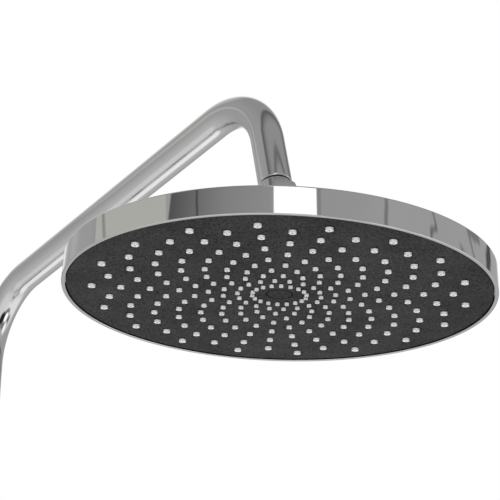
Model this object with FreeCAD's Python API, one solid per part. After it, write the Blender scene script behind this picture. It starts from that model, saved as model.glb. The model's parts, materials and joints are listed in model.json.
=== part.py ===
import FreeCAD, Part
import math
import os

os.makedirs("parts", exist_ok=True)

V = FreeCAD.Vector

# ---------------------------------------------------------------------------
# Frame: +Z up, the wall is the plane y = 0 and the column stands in front of
# it on the -Y side. The origin is the middle of the wall plate's back face.
# All lengths in millimetres, all angles in degrees.
# ---------------------------------------------------------------------------

# clearances
SEAT = 0.02              # faces that rest on each other inside one body
RUN = 0.06               # radial running clearance of turning and sliding fits
TRIM = 0.3               # visible gap round the spray face and covers

# riser and gooseneck
RISER_OFFSET = 60.0      # riser axis in front of the wall
TUBE_R = 10.0            # gooseneck tube, outer radius
TUBE_WALL = 1.2
BEND_R = 50.0            # centreline radius of both bends
LEG_TOP = 290.0          # where the leg's bend begins, at rest
LEG_LENGTH = 350.0       # straight leg below its bend
ARM_LENGTH = 220.0       # straight arm between the bends
ARM_RISE = 2.2           # arm climbs this much towards its outer end
NECK_LENGTH = 35.3       # straight neck above its joint
NECK_LEAN = 11.5         # neck leans outwards going down

# lower riser
RISER_R = 12.5
RISER_WALL = 1.2
RISER_TOP = 120.0
RISER_LENGTH = 820.0

# clamp at the top of the lower riser
COLLAR_R = 14.0          # thread radius of the riser collar
COLLAR_BELOW = 16.0      # collar's hold on the riser
COLLAR_RIM_R = 16.0
COLLAR_RIM_H = 3.0
COLLET_WALL = 1.9
COLLET_H = 9.0
COLLET_CONE_H = 4.0
COLLET_SLOT = 1.6
COLLET_SHELF = 1.0       # collar's inner step between riser and collet
CLAMP_NUT_R = 17.5
CLAMP_NUT_TOP = 3.0
CLAMP_FLUTES = 12
CLAMP_FLUTE_R = 1.6

# ball joint
BALL_R = 11.0
BALL_BORE_R = 3.5
STEM_R = 5.5
STEM_TO = 16.0           # stem ends this far above the ball's centre
SHOULDER_R = 11.9        # spanner shoulder
SHOULDER_TO = 24.4
SHOULDER_FLATS = 18.9
SHOULDER_FLAT_TURN = -7.5
STUD_COLLAR_R = 9.4
STUD_COLLAR_TO = 26.0
NECK_GAP = 1.0           # neck washer between collar and tube
STUD_THREAD_R = 7.4
STUD_THREAD_L = 11.0
TILT_CONE = 24.0         # the head tilts this far from the neck's axis
LINER = 1.0              # friction ring thickness
LINER_LOW = 0.45
LINER_HIGH = 5.0
MOUTH_SPARE = 2.0        # room left between stem and mouth at full tilt
NUT_R = 16.6
NUT_ABOVE = 8.6
NUT_BELOW = 15.0
NUT_FLUTES = 12
NUT_FLUTE_R = 1.5
SEAT_TOP = 4.85          # ball seat top below the ball's centre
SEAT_BOTTOM = 13.0
SEAT_R = 12.04
SEAT_BORE_R = 6.5
BALL_RING_R = 0.9        # ball O-ring section radius
BALL_RING_POLAR = 126.0

# neck fittings
INSERT_L = 18.0
INSERT_LIP_R = 5.8
INSERT_LIP = 3.6
LIMITER_T = 2.0
LIMITER_HOLE_R = 0.8
LIMITER_HOLES = 6
FILTER_T = 0.9
FILTER_BAR = 0.5

# head, heights above its spray face
HEAD_TILT_OUT = 8.62     # head's axis leans outwards at its top, at rest
HEAD_TILT_SIDE = 3.97    # and towards -X
BALL_HEIGHT = 44.0       # ball centre above the spray face
COVER_R = 121.0
COVER_DRAFT = 0.7        # rim is narrower at its top
COVER_WALL = 2.15
LIP_DEEP = 0.6           # rim's lip reaches this far below the spray face
RIM_H = 15.1
RIM_ROUND = 1.0
CROWN_R = 30.0           # top of the cover climbs to this radius
CROWN_H = 20.5
BOSS_R = 17.2
BOSS_FLARE = 4.0         # crown flares this far out from the boss
BOSS_THREAD_R = 14.2
NUT_CLEAR = 0.3          # ball nut's foot above the boss's step
BOSS_SPARE = 5.3         # boss's end below the ball's centre
WEB_T = 6.48             # web that carries the ball seat
HUB_BORE_R = 2.55
WEB_HOLES = 6
WEB_HOLE_R = 1.5
WEB_HOLE_AT = 5.2
SOCKET_LOW = 12.5        # lower end of the inlet socket inside the cover
SOCKET_WALL = 2.75
LEDGE = 1.8              # ledge that the spray face seats on
FACE_T = 2.5
FACE_EDGE = 0.7
NOZZLE_RINGS = 12
NOZZLES_PER_RING = 18
NOZZLE_INSET = 1.58      # outer ring inside the water chamber's wall
NOZZLE_INNER_AT = 15.18
NOZZLE_TURN = 5.83       # first nozzle of the outer ring
NOZZLE_R_OUT = 2.3
NOZZLE_R_IN = 1.35
NOZZLE_TIP = 0.93        # tip radius as a share of the root
NOZZLE_OUT = 1.25        # how far the nozzles stand out
NOZZLE_BORE_R = 0.6
NOZZLE_GAP = 0.42        # dark gap round each nozzle
MAT_T = 1.5
MAT_GAP = 0.4            # mat's edge to the screw posts
CHAMBER_H = 4.5          # water space above the mat
CHAMBER_T = 2.0
CHAMBER_WALL = 4.6
CHAMBER_SEAL_R = 0.8
FLANGE_GAP = 1.1         # chamber flange inside the cover's ledge
CHAMBER_FLANGE_T = 2.1
SCREW_INSET = 2.7        # screws in from the flange's edge
SCREWS = 8
SCREW_R = 1.3
SCREW_HEAD_R = 2.3
SCREW_HEAD_H = 1.5
SCREW_DEEP = 1.1
POST_R = 2.5
SPIGOT_R = 9.65
SPIGOT_BORE_R = 7.0
SPIGOT_RING_R = 0.8      # inlet O-ring section radius
CAP_R = 7.0
CAP_T = 1.3
CAP_GROOVE = 0.3
CENTRE_HEAD_R = 4.2
CENTRE_HEAD_H = 3.0
CENTRE_SCREW_R = 2.5
SOCKET_CORNER_R = 2.3    # hexagon socket of the centre screw
SOCKET_DEEP = 1.6
CENTRE_BOSS_R = 6.4

# sliding seal inside the lower riser
FERRULE_IN = 14.0
SPIGOT_LOW_R = 7.4
SPIGOT_LOW_L = 24.0
FERRULE_BORE_R = 5.6
BUSH_L = 20.0
BUSH_RING_R = 1.1
RING_SPACING = 9.0
TURN_RING_R = 0.8
CLIP_T = 1.0
CLIP_REACH = 1.4

# wall bracket
PLATE_R = 25.0
PLATE_T = 4.0
PLATE_HOLE_R = 2.6
PLATE_HOLE_SPACING = 32.0
PLATE_BOSS_R = 6.0
PLATE_BOSS_L = 13.0
POST_OUT_R = 9.0
POST_STUD_R = 4.0
POST_STUD_L = 5.6
ROSETTE_R = 29.0
ROSETTE_T = 1.2
ROSETTE_DEEP = 11.0
BRACKET_R = 17.0
BRACKET_H = 26.0
BRACKET_BOSS_L = 19.0
GRUB_R = 2.5
GRUB_L = 4.2
GRUB_SOCKET = 1.25

# lower connection
TAIL_IN = 18.0
TAIL_COLLAR = 3.0
TAIL_NECK_R = 8.5
TAIL_NECK_L = 13.0
TAIL_FLANGE_R = 10.0
TAIL_FLANGE_T = 2.5
TAIL_BORE_R = 6.6
UNION_AF = 27.0
UNION_SHOULDER = 3.0
UNION_THREAD_R = 10.48
UNION_THREAD_L = 8.0
UNION_RELIEF = 0.5
UNION_WASHER_T = 2.0

# derived places
LEG_BOTTOM = LEG_TOP - LEG_LENGTH
RISER_BOTTOM = RISER_TOP - RISER_LENGTH
BOSS_H = BALL_HEIGHT - NUT_BELOW - NUT_CLEAR
BOSS_TOP = BALL_HEIGHT - BOSS_SPARE
SHELF_TOP = BALL_HEIGHT - SEAT_BOTTOM - SEAT
SHELF_H = SHELF_TOP - WEB_T
STEM_POLAR = math.degrees(math.asin(STEM_R / BALL_R))
MOUTH_POLAR = STEM_POLAR + TILT_CONE + MOUTH_SPARE
TUBE_BORE_R = TUBE_R - TUBE_WALL
RISER_BORE_R = RISER_R - RISER_WALL
NECK_END = STUD_COLLAR_TO + NECK_GAP
MAT_LOW = FACE_T + SEAT
MAT_TOP = MAT_LOW + MAT_T
CEILING = MAT_TOP + CHAMBER_H
CHAMBER_TOP = CEILING + CHAMBER_T
SOCKET_R = SPIGOT_R + 0.1
POCKET_R = COVER_R - COVER_WALL
FACE_R = POCKET_R - TRIM
CHAMBER_FLANGE_R = POCKET_R - LEDGE - FLANGE_GAP
SCREW_AT = CHAMBER_FLANGE_R - SCREW_INSET
MAT_R = SCREW_AT - POST_R - MAT_GAP
CHAMBER_IN_R = MAT_R - CHAMBER_WALL
NOZZLE_OUTER_AT = CHAMBER_IN_R - NOZZLE_INSET
NOZZLE_PITCH = (NOZZLE_OUTER_AT - NOZZLE_INNER_AT) / (NOZZLE_RINGS - 1)


def revolved(points):
    """Solid of revolution about Z from (radius, height) points; an item with four numbers is an
    arc through its first pair to its second pair."""
    edges = []
    first = V(points[0][0], 0, points[0][1])
    last = first
    for item in points[1:]:
        if len(item) == 4:
            middle = V(item[0], 0, item[1])
            end = V(item[2], 0, item[3])
            edges.append(Part.Arc(last, middle, end).toShape())
        else:
            end = V(item[0], 0, item[1])
            edges.append(Part.LineSegment(last, end).toShape())
        last = end
    if last.distanceToPoint(first) > 1e-7:
        edges.append(Part.LineSegment(last, first).toShape())
    face = Part.Face(Part.Wire(edges))
    return face.revolve(V(0, 0, 0), V(0, 0, 1), 360)


def ring(inner, outer, low, high):
    """Plain ring between two radii and two heights."""
    return revolved([(inner, low), (outer, low), (outer, high), (inner, high)])


def disc(radius, low, high):
    """Plain round disc."""
    return Part.makeCylinder(radius, high - low, V(0, 0, low))


def around(shape, count, turn=0.0):
    """Copies of a shape at equal steps about Z."""
    copies = []
    for index in range(count):
        copy = shape.copy()
        copy.rotate(V(0, 0, 0), V(0, 0, 1), turn + index * 360.0 / count)
        copies.append(copy)
    return copies


def torus(at_radius, height, section):
    """O-ring about Z."""
    return Part.makeTorus(at_radius, section, V(0, 0, height), V(0, 0, 1))


def on_sphere(radius, polar):
    """(radius from the axis, height) of a point on a sphere about the origin."""
    angle = math.radians(polar)
    return radius * math.sin(angle), radius * math.cos(angle)


# ---------------------------------------------------------------------------
# places in the assembly
# ---------------------------------------------------------------------------

def gooseneck_path():
    """Corner points of the gooseneck's centreline, from the leg's lower end to the neck's end:
    (points, arc middles) with the two arcs between points 1-2 and 3-4."""
    arm = math.radians(ARM_RISE)
    lean = math.radians(NECK_LEAN)
    turn_one = math.radians(90.0 - ARM_RISE)
    turn_two = math.pi - lean - turn_one
    start = V(0, -RISER_OFFSET, LEG_BOTTOM)
    knee = V(0, -RISER_OFFSET, LEG_TOP)
    centre_one = knee + V(0, -BEND_R, 0)

    def first(angle):
        return centre_one + V(0, BEND_R * math.cos(angle), BEND_R * math.sin(angle))

    ahead = V(0, -math.cos(arm), math.sin(arm))
    down = V(0, -math.sin(arm), -math.cos(arm))
    shoulder = first(turn_one)
    crest = shoulder + ahead * ARM_LENGTH
    centre_two = crest + down * BEND_R

    def second(angle):
        return centre_two - down * (BEND_R * math.cos(angle)) + ahead * (BEND_R * math.sin(angle))

    bend_end = second(turn_two)
    neck_down = V(0, -math.sin(lean), -math.cos(lean))
    neck_end = bend_end + neck_down * NECK_LENGTH
    points = [start, knee, shoulder, crest, bend_end, neck_end]
    middles = [first(turn_one / 2.0), second(turn_two / 2.0)]
    return points, middles, neck_down


PATH_POINTS, PATH_MIDDLES, NECK_DOWN = gooseneck_path()
BALL_CENTRE = PATH_POINTS[5] + NECK_DOWN * NECK_END
HEAD_UP = V(-math.tan(math.radians(HEAD_TILT_SIDE)), -math.tan(math.radians(HEAD_TILT_OUT)), 1.0)
HEAD_UP.normalize()


def placed(shape, up, origin):
    """Turns +Z to a direction by the shortest way and moves the origin to a point."""
    moved = shape.copy()
    turn = FreeCAD.Rotation(V(0, 0, 1), up)
    moved.Placement = FreeCAD.Placement(origin, turn).multiply(moved.Placement)
    return moved


def in_neck(shape):
    """From the stud's frame, ball centre at the origin, to the assembly."""
    return placed(shape, NECK_DOWN * -1.0, BALL_CENTRE)


def in_head(shape):
    """From the head's frame, spray face at height 0, to the assembly."""
    lowered = shape.copy()
    lowered.translate(V(0, 0, -BALL_HEIGHT))
    return placed(lowered, HEAD_UP, BALL_CENTRE)


def at_riser(shape):
    """From the riser's axis at the origin to the assembly."""
    moved = shape.copy()
    moved.translate(V(0, -RISER_OFFSET, 0))
    return moved


def from_wall(shape):
    """Turns a shape built along +Z so that it stands out from the wall along -Y."""
    moved = shape.copy()
    moved.rotate(V(0, 0, 0), V(1, 0, 0), 90)
    return moved


# ---------------------------------------------------------------------------
# gooseneck
# ---------------------------------------------------------------------------

def tube_solid(radius):
    """Solid rod of one radius along the gooseneck's path."""
    p = PATH_POINTS
    edges = [
        Part.LineSegment(p[0], p[1]).toShape(),
        Part.Arc(p[1], PATH_MIDDLES[0], p[2]).toShape(),
        Part.LineSegment(p[2], p[3]).toShape(),
        Part.Arc(p[3], PATH_MIDDLES[1], p[4]).toShape(),
        Part.LineSegment(p[4], p[5]).toShape(),
    ]
    section = Part.Wire([Part.makeCircle(radius, p[0], V(0, 0, 1))])
    return Part.Wire(edges).makePipeShell([section], True, True)


def gooseneck_tube():
    """Bent tube: riser leg, arm and neck."""
    outer = tube_solid(TUBE_R)
    bore = tube_solid(TUBE_BORE_R)
    return outer.cut(bore)


def neck_insert():
    """Threaded bush brazed into the neck, with the lip that the filter washer stops on."""
    low = NECK_END
    high = NECK_END + INSERT_L
    bore = STUD_THREAD_R + RUN
    outer = TUBE_BORE_R - SEAT
    return revolved([(bore, low), (outer, low), (outer, high), (INSERT_LIP_R, high),
                     (INSERT_LIP_R, high - INSERT_LIP), (bore, high - INSERT_LIP)])


def ball_stud():
    """Ball, stem, spanner shoulder, collar and thread in one turned piece."""
    top = STUD_COLLAR_TO + STUD_THREAD_L
    bore_polar = 180.0 - math.degrees(math.asin(BALL_BORE_R / BALL_R))
    low = on_sphere(BALL_R, bore_polar)
    neck = on_sphere(BALL_R, STEM_POLAR)
    body = revolved([
        low, (BALL_R, 0.0, neck[0], neck[1]), (STEM_R, STEM_TO - 1.5), (STEM_R + 1.5, STEM_TO),
        (SHOULDER_R - 0.6, STEM_TO), (SHOULDER_R, STEM_TO + 0.6), (SHOULDER_R, SHOULDER_TO - 1.5),
        (SHOULDER_R - 0.4, SHOULDER_TO - 0.45, SHOULDER_R - 1.5, SHOULDER_TO),
        (STUD_COLLAR_R, SHOULDER_TO),
        (STUD_COLLAR_R, STUD_COLLAR_TO), (STUD_THREAD_R, STUD_COLLAR_TO),
        (STUD_THREAD_R, top - 0.8), (STUD_THREAD_R - 0.8, top), (BALL_BORE_R, top)])
    for side in (0.0, 180.0):
        flat = Part.makeBox(4 * SHOULDER_R, 2 * SHOULDER_R, SHOULDER_TO - STEM_TO + 0.02,
                            V(-2 * SHOULDER_R, SHOULDER_FLATS / 2.0, STEM_TO - 0.01))
        flat.rotate(V(0, 0, 0), V(0, 0, 1), SHOULDER_FLAT_TURN + side)
        body = body.cut(flat)
    return body


def neck_washer():
    """Black washer between collar and tube end."""
    return ring(STUD_THREAD_R + RUN, STUD_COLLAR_R - 0.15, STUD_COLLAR_TO + SEAT, NECK_END - SEAT)


def flow_limiter():
    """Plastic disc with a ring of small holes."""
    low = STUD_COLLAR_TO + STUD_THREAD_L + SEAT
    body = disc(STUD_THREAD_R - 0.1, low, low + LIMITER_T)
    hole = Part.makeCylinder(LIMITER_HOLE_R, LIMITER_T + 2, V(3.0, 0, low - 1))
    return body.cut(Part.makeCompound(around(hole, LIMITER_HOLES)))


def filter_washer():
    """Rubber washer with a crossed screen."""
    low = STUD_COLLAR_TO + STUD_THREAD_L + LIMITER_T + 2 * SEAT
    body = ring(INSERT_LIP_R - 0.6, STUD_THREAD_R - 0.1, low, low + FILTER_T)
    reach = 2 * (INSERT_LIP_R - 0.3)
    bars = []
    for step in range(-2, 3):
        half = math.sqrt((reach / 2.0) ** 2 - (step * 2.0) ** 2)
        bars.append(Part.makeBox(2 * half, FILTER_BAR, FILTER_BAR,
                                 V(-half, step * 2.0 - FILTER_BAR / 2.0, low + 0.2)))
        bars.append(Part.makeBox(FILTER_BAR, 2 * half, FILTER_BAR,
                                 V(step * 2.0 - FILTER_BAR / 2.0, -half, low + 0.2)))
    return body.multiFuse(bars).removeSplitter()


# ---------------------------------------------------------------------------
# ball joint
# ---------------------------------------------------------------------------

def friction_ring():
    """Thin spherical ring between the ball and the nut."""
    inner = BALL_R + RUN
    outer = BALL_R + LINER
    mid = (LINER_LOW + LINER_HIGH) / 2.0

    def at(radius, height):
        return math.sqrt(radius * radius - height * height)

    return revolved([
        (at(inner, LINER_LOW), LINER_LOW), (at(outer, LINER_LOW), LINER_LOW),
        (at(outer, mid), mid, at(outer, LINER_HIGH), LINER_HIGH),
        (at(inner, LINER_HIGH), LINER_HIGH),
        (at(inner, mid), mid, at(inner, LINER_LOW), LINER_LOW)])


def ball_nut():
    """Cap nut that holds the ball in the head."""
    seat = BALL_R + LINER + RUN
    bore = SEAT_R + 0.1
    lip = on_sphere(seat, MOUTH_POLAR)
    middle = on_sphere(seat, (MOUTH_POLAR + 90.0) / 2.0)
    thread = BOSS_THREAD_R + 0.05
    step = 0.2 - BOSS_SPARE
    body = revolved([
        (thread, -NUT_BELOW), (NUT_R - 0.6, -NUT_BELOW), (NUT_R, -NUT_BELOW + 0.6),
        (NUT_R, NUT_ABOVE - 3.2), (NUT_R - 0.95, NUT_ABOVE - 0.95, NUT_R - 3.2, NUT_ABOVE),
        (lip[0] + 1.4, NUT_ABOVE), lip, (middle[0], middle[1], seat, 0.0), (bore, 0.0),
        (bore, step), (thread, step)])
    groove = Part.makeCylinder(NUT_FLUTE_R, NUT_BELOW, V(NUT_R + NUT_FLUTE_R - 0.7, 0, -NUT_BELOW + 2.0))
    body = body.cut(Part.makeCompound(around(groove, NUT_FLUTES)))
    body.translate(V(0, 0, BALL_HEIGHT))
    return body


def ball_ring_place():
    """(radius, height) of the ball O-ring's section centre about the ball's centre."""
    return on_sphere(BALL_R + BALL_RING_R + SEAT, BALL_RING_POLAR)


def ball_seat():
    """Plastic cup below the ball, with its O-ring groove."""
    inner = BALL_R + RUN
    rim = math.sqrt(inner * inner - SEAT_TOP * SEAT_TOP)
    foot = -math.sqrt(inner * inner - SEAT_BORE_R * SEAT_BORE_R)
    polar = math.degrees(math.atan2(SEAT_BORE_R, foot) + math.atan2(rim, -SEAT_TOP)) / 2.0
    middle = on_sphere(inner, polar)
    body = revolved([
        (SEAT_BORE_R, -SEAT_BOTTOM), (SEAT_R, -SEAT_BOTTOM), (SEAT_R, -SEAT_TOP), (rim, -SEAT_TOP),
        (middle[0], middle[1], SEAT_BORE_R, foot)])
    place = ball_ring_place()
    body = body.cut(torus(place[0], place[1], BALL_RING_R + 0.03))
    body.translate(V(0, 0, BALL_HEIGHT))
    return body


def ball_o_ring():
    """O-ring that seals the ball."""
    place = ball_ring_place()
    return torus(place[0], BALL_HEIGHT + place[1], BALL_RING_R)


# ---------------------------------------------------------------------------
# head
# ---------------------------------------------------------------------------

def head_cover():
    """Chromed shell: straight rim, low crown, threaded boss and inlet socket."""
    top_r = COVER_R - COVER_DRAFT
    flare = BOSS_H - CROWN_H
    slope = (CROWN_H - RIM_H) / (top_r - RIM_ROUND - CROWN_R)
    inside_crown = CROWN_H - COVER_WALL
    inside_rim = inside_crown - slope * (POCKET_R - CROWN_R)
    socket_out = SOCKET_R + SOCKET_WALL
    bore = SEAT_R + 0.06
    diagonal = RIM_ROUND * (1.0 - math.sqrt(0.5))
    seat_h = FACE_T + SEAT
    body = revolved([
        (POCKET_R, -LIP_DEEP), (COVER_R - 0.5, -LIP_DEEP),
        (COVER_R - 0.15, 0.15 - LIP_DEEP, COVER_R, 0.5 - LIP_DEEP),
        (top_r, RIM_H - RIM_ROUND),
        (top_r - diagonal, RIM_H - diagonal, top_r - RIM_ROUND, RIM_H),
        (CROWN_R, CROWN_H), (BOSS_R + BOSS_FLARE, CROWN_H + 0.15 * flare),
        (BOSS_R, CROWN_H + 0.55 * flare),
        (BOSS_R, BOSS_H - 0.5), (BOSS_R - 0.5, BOSS_H), (BOSS_THREAD_R, BOSS_H),
        (BOSS_THREAD_R, BOSS_TOP), (bore, BOSS_TOP), (bore, SHELF_TOP), (0.0, SHELF_TOP),
        (0.0, SHELF_H), (SOCKET_R, SHELF_H), (SOCKET_R, SOCKET_LOW), (socket_out, SOCKET_LOW),
        (socket_out, inside_crown), (CROWN_R, inside_crown), (POCKET_R, inside_rim),
        (POCKET_R, seat_h + 2.0 * LEDGE), (POCKET_R - LEDGE, seat_h + LEDGE),
        (POCKET_R - LEDGE, seat_h), (POCKET_R, seat_h)])
    web = WEB_T + 2
    cuts = [Part.makeCylinder(HUB_BORE_R, web, V(0, 0, SHELF_H - 1))]
    hole = Part.makeCylinder(WEB_HOLE_R, web, V(WEB_HOLE_AT, 0, SHELF_H - 1))
    cuts.extend(around(hole, WEB_HOLES))
    return body.cut(Part.makeCompound(cuts))


def nozzle_places():
    """(x, y, root radius) of every nozzle; alternate rings are half a step round."""
    places = []
    step = 360.0 / NOZZLES_PER_RING
    for row in range(NOZZLE_RINGS):
        at = NOZZLE_OUTER_AT - row * NOZZLE_PITCH
        share = row / float(NOZZLE_RINGS - 1)
        root = NOZZLE_R_OUT + (NOZZLE_R_IN - NOZZLE_R_OUT) * share
        for index in range(NOZZLES_PER_RING):
            angle = math.radians(NOZZLE_TURN + step * (index + 0.5 * (row % 2)))
            places.append((at * math.cos(angle), at * math.sin(angle), root))
    return places


def spray_face():
    """Charcoal disc with its nozzle holes, screw posts and centre boss."""
    cap_pocket = CAP_R + CAP_GROOVE
    head_deep = CAP_T + 0.7 + CENTRE_HEAD_H
    body = revolved([
        (0.0, 0.0), (FACE_R - FACE_EDGE, 0.0),
        (FACE_R - FACE_EDGE * 0.29, FACE_EDGE * 0.29, FACE_R, FACE_EDGE),
        (FACE_R, FACE_T), (CENTRE_BOSS_R, FACE_T), (CENTRE_BOSS_R, CEILING - 0.5),
        (0.0, CEILING - 0.5)])
    post_top = CHAMBER_TOP - CHAMBER_T - CHAMBER_FLANGE_T - SEAT
    post = Part.makeCylinder(POST_R, post_top - FACE_T + 0.5, V(SCREW_AT, 0, FACE_T - 0.5))
    body = body.multiFuse(around(post, SCREWS, 22.5))
    cuts = []
    for x, y, root in nozzle_places():
        cuts.append(Part.makeCylinder(root + NOZZLE_GAP, FACE_T + 2, V(x, y, -1)))
    cuts.append(disc(cap_pocket, -1, CAP_T + SEAT))
    cuts.append(disc(CENTRE_HEAD_R + 0.2, CAP_T, head_deep))
    cuts.append(disc(CENTRE_SCREW_R + 0.2, head_deep - 0.5, CEILING + 1))
    pilot = Part.makeCylinder(SCREW_R + 0.05, CEILING, V(SCREW_AT, 0, SCREW_DEEP - 0.1))
    cuts.extend(around(pilot, SCREWS, 22.5))
    return body.cut(cuts)


def nozzle_mat():
    """Silicone mat with its hollow nozzles."""
    body = ring(CENTRE_BOSS_R + 0.15, MAT_R, MAT_LOW, MAT_TOP)
    nozzles = []
    bores = []
    long = MAT_TOP + NOZZLE_OUT - 0.4
    for x, y, root in nozzle_places():
        nozzles.append(Part.makeCone(root * NOZZLE_TIP, root, long, V(x, y, -NOZZLE_OUT)))
        bores.append(Part.makeCylinder(NOZZLE_BORE_R, MAT_TOP + NOZZLE_OUT + 2, V(x, y, -NOZZLE_OUT - 1)))
    return body.multiFuse(nozzles).cut(bores)


def chamber_plate():
    """Lid of the water chamber with the inlet spigot."""
    low = MAT_TOP + SEAT
    groove = CHAMBER_SEAL_R + 0.1
    groove_top = low + 2 * CHAMBER_SEAL_R + 0.08
    seal_at = (CHAMBER_IN_R + MAT_R) / 2.0
    flange_low = CEILING - CHAMBER_FLANGE_T
    flange_top = CEILING
    spigot_top = SHELF_H - 0.2
    ring_at = spigot_ring_height()
    half = SPIGOT_RING_R + 0.25
    deep = spigot_groove_r()
    body = revolved([
        (SPIGOT_BORE_R, spigot_top), (SPIGOT_R - 0.6, spigot_top), (SPIGOT_R, spigot_top - 0.6),
        (SPIGOT_R, ring_at + half), (deep, ring_at + half), (deep, ring_at - half),
        (SPIGOT_R, ring_at - half), (SPIGOT_R, CHAMBER_TOP), (MAT_R, CHAMBER_TOP),
        (MAT_R, flange_top), (CHAMBER_FLANGE_R, flange_top), (CHAMBER_FLANGE_R, flange_low),
        (MAT_R, flange_low), (MAT_R, low), (seal_at + groove, low),
        (seal_at + groove, groove_top), (seal_at - groove, groove_top), (seal_at - groove, low),
        (CHAMBER_IN_R, low), (CHAMBER_IN_R, CEILING), (SPIGOT_BORE_R, CEILING)])
    hole = Part.makeCylinder(SCREW_R + 0.15, 2 * CEILING, V(SCREW_AT, 0, 0))
    return body.cut(Part.makeCompound(around(hole, SCREWS, 22.5)))


def spigot_groove_r():
    """Bottom radius of the inlet O-ring's groove."""
    return SPIGOT_R - 2 * SPIGOT_RING_R + 0.05


def spigot_ring_height():
    """Height of the inlet O-ring's middle."""
    return (SOCKET_LOW + SHELF_H) / 2.0 + 1.0


def chamber_seal():
    """Large O-ring that lies on the mat's edge."""
    seal_at = (CHAMBER_IN_R + MAT_R) / 2.0
    return torus(seal_at, MAT_TOP + SEAT + CHAMBER_SEAL_R, CHAMBER_SEAL_R)


def inlet_o_ring():
    """O-ring in the spigot's groove."""
    return torus(spigot_groove_r() + SPIGOT_RING_R, spigot_ring_height(), SPIGOT_RING_R - SEAT)


def chamber_screws():
    """Screws that hold the chamber plate to the face."""
    top = CEILING + SEAT
    screw = revolved([
        (0.0, SCREW_DEEP), (SCREW_R - 0.6, SCREW_DEEP), (SCREW_R, SCREW_DEEP + 0.8), (SCREW_R, top),
        (SCREW_HEAD_R, top), (SCREW_HEAD_R, top + SCREW_HEAD_H - 0.5),
        (SCREW_HEAD_R - 0.7, top + SCREW_HEAD_H), (0.0, top + SCREW_HEAD_H)])
    slot = Part.makeBox(2.6, 0.6, 0.8, V(-1.3, -0.3, top + SCREW_HEAD_H - 0.7))
    cross = slot.copy()
    cross.rotate(V(0, 0, 0), V(0, 0, 1), 90)
    screw = screw.cut([slot, cross])
    screw.translate(V(SCREW_AT, 0, 0))
    return Part.makeCompound(around(screw, SCREWS, 22.5))


def centre_screw():
    """Screw that pulls face and chamber into the cover."""
    low = CAP_T + 0.7
    top = BALL_HEIGHT - SEAT_BOTTOM - 1.0
    body = revolved([
        (0.0, low), (CENTRE_HEAD_R - 0.4, low), (CENTRE_HEAD_R, low + 0.4),
        (CENTRE_HEAD_R, low + CENTRE_HEAD_H - SEAT), (CENTRE_SCREW_R, low + CENTRE_HEAD_H - SEAT),
        (CENTRE_SCREW_R, top - 0.8), (CENTRE_SCREW_R - 0.8, top), (0.0, top)])
    return body.cut(hexagon(SOCKET_CORNER_R, low - 1).extrude(V(0, 0, 1 + SOCKET_DEEP)))


def hexagon(corner_r, height):
    """Flat hexagonal face about Z."""
    points = []
    for index in range(7):
        angle = math.radians(60.0 * index)
        points.append(V(corner_r * math.cos(angle), corner_r * math.sin(angle), height))
    return Part.Face(Part.makePolygon(points))


def centre_cap():
    """Cap that hides the centre screw, with its clip ring."""
    clip_out = CENTRE_HEAD_R + 0.1
    return revolved([
        (0.0, 0.0), (CAP_R - 0.3, 0.0), (CAP_R, 0.3), (CAP_R, CAP_T), (clip_out, CAP_T),
        (clip_out, CAP_T + 0.6), (clip_out - 0.9, CAP_T + 0.6), (clip_out - 0.9, CAP_T), (0.0, CAP_T)])


# ---------------------------------------------------------------------------
# sliding seal
# ---------------------------------------------------------------------------

def slide_ferrule():
    """Brazed into the leg's end; its spigot carries the bush."""
    end = LEG_BOTTOM
    low = end - SPIGOT_LOW_L
    clip_low = end - SEAT - BUSH_L - 0.1 - CLIP_T - 0.1
    plug = TUBE_BORE_R - SEAT
    body = revolved([
        (FERRULE_BORE_R, end + FERRULE_IN), (plug, end + FERRULE_IN), (plug, end),
        (SPIGOT_LOW_R, end), (SPIGOT_LOW_R, low + 0.6), (SPIGOT_LOW_R - 0.6, low),
        (FERRULE_BORE_R, low)])
    groove = ring(SPIGOT_LOW_R - 0.7, SPIGOT_LOW_R + 2, clip_low, clip_low + CLIP_T + 0.1)
    turn = torus(SPIGOT_LOW_R, turn_ring_height(), TURN_RING_R + 0.05)
    return body.cut([groove, turn])


def turn_ring_height():
    """Height of the swivel O-ring between spigot and bush."""
    return LEG_BOTTOM - BUSH_L / 2.0


def slide_bush():
    """Plastic bush that guides the leg in the riser and carries the seals."""
    high = LEG_BOTTOM - SEAT
    low = high - BUSH_L
    outer = RISER_BORE_R - RUN
    bore = SPIGOT_LOW_R + RUN
    deep = outer - 2 * BUSH_RING_R
    half = BUSH_RING_R + 0.1
    body = ring(bore, outer, low, high)
    cuts = [torus(SPIGOT_LOW_R, turn_ring_height(), TURN_RING_R + 0.05)]
    for side in (-0.5, 0.5):
        middle = turn_ring_height() + side * RING_SPACING
        cuts.append(ring(deep, outer + 2, middle - half, middle + half))
    return body.cut(cuts)


def slide_o_rings():
    """Two O-rings round the bush."""
    outer = RISER_BORE_R - RUN
    rings = []
    for side in (-0.5, 0.5):
        middle = turn_ring_height() + side * RING_SPACING
        rings.append(torus(outer - BUSH_RING_R + 0.02, middle, BUSH_RING_R - 0.05))
    return Part.makeCompound(rings)


def swivel_o_ring():
    """O-ring that lets the leg turn in the bush."""
    return torus(SPIGOT_LOW_R, turn_ring_height(), TURN_RING_R)


def retaining_ring():
    """Split ring under the bush."""
    high = LEG_BOTTOM - SEAT - BUSH_L - 0.1
    inner = SPIGOT_LOW_R - 0.6
    body = ring(inner, SPIGOT_LOW_R + CLIP_REACH, high - CLIP_T - 0.02, high - 0.02)
    gap = Part.makeBox(2 * SPIGOT_LOW_R, 4 * CLIP_T, 4 * CLIP_T,
                       V(0, -2 * CLIP_T, high - 2.5 * CLIP_T))
    return body.cut(gap)


# ---------------------------------------------------------------------------
# lower riser and its clamp
# ---------------------------------------------------------------------------

def lower_riser():
    """Outer tube."""
    return ring(RISER_BORE_R, RISER_R, RISER_BOTTOM, RISER_TOP)


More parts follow.
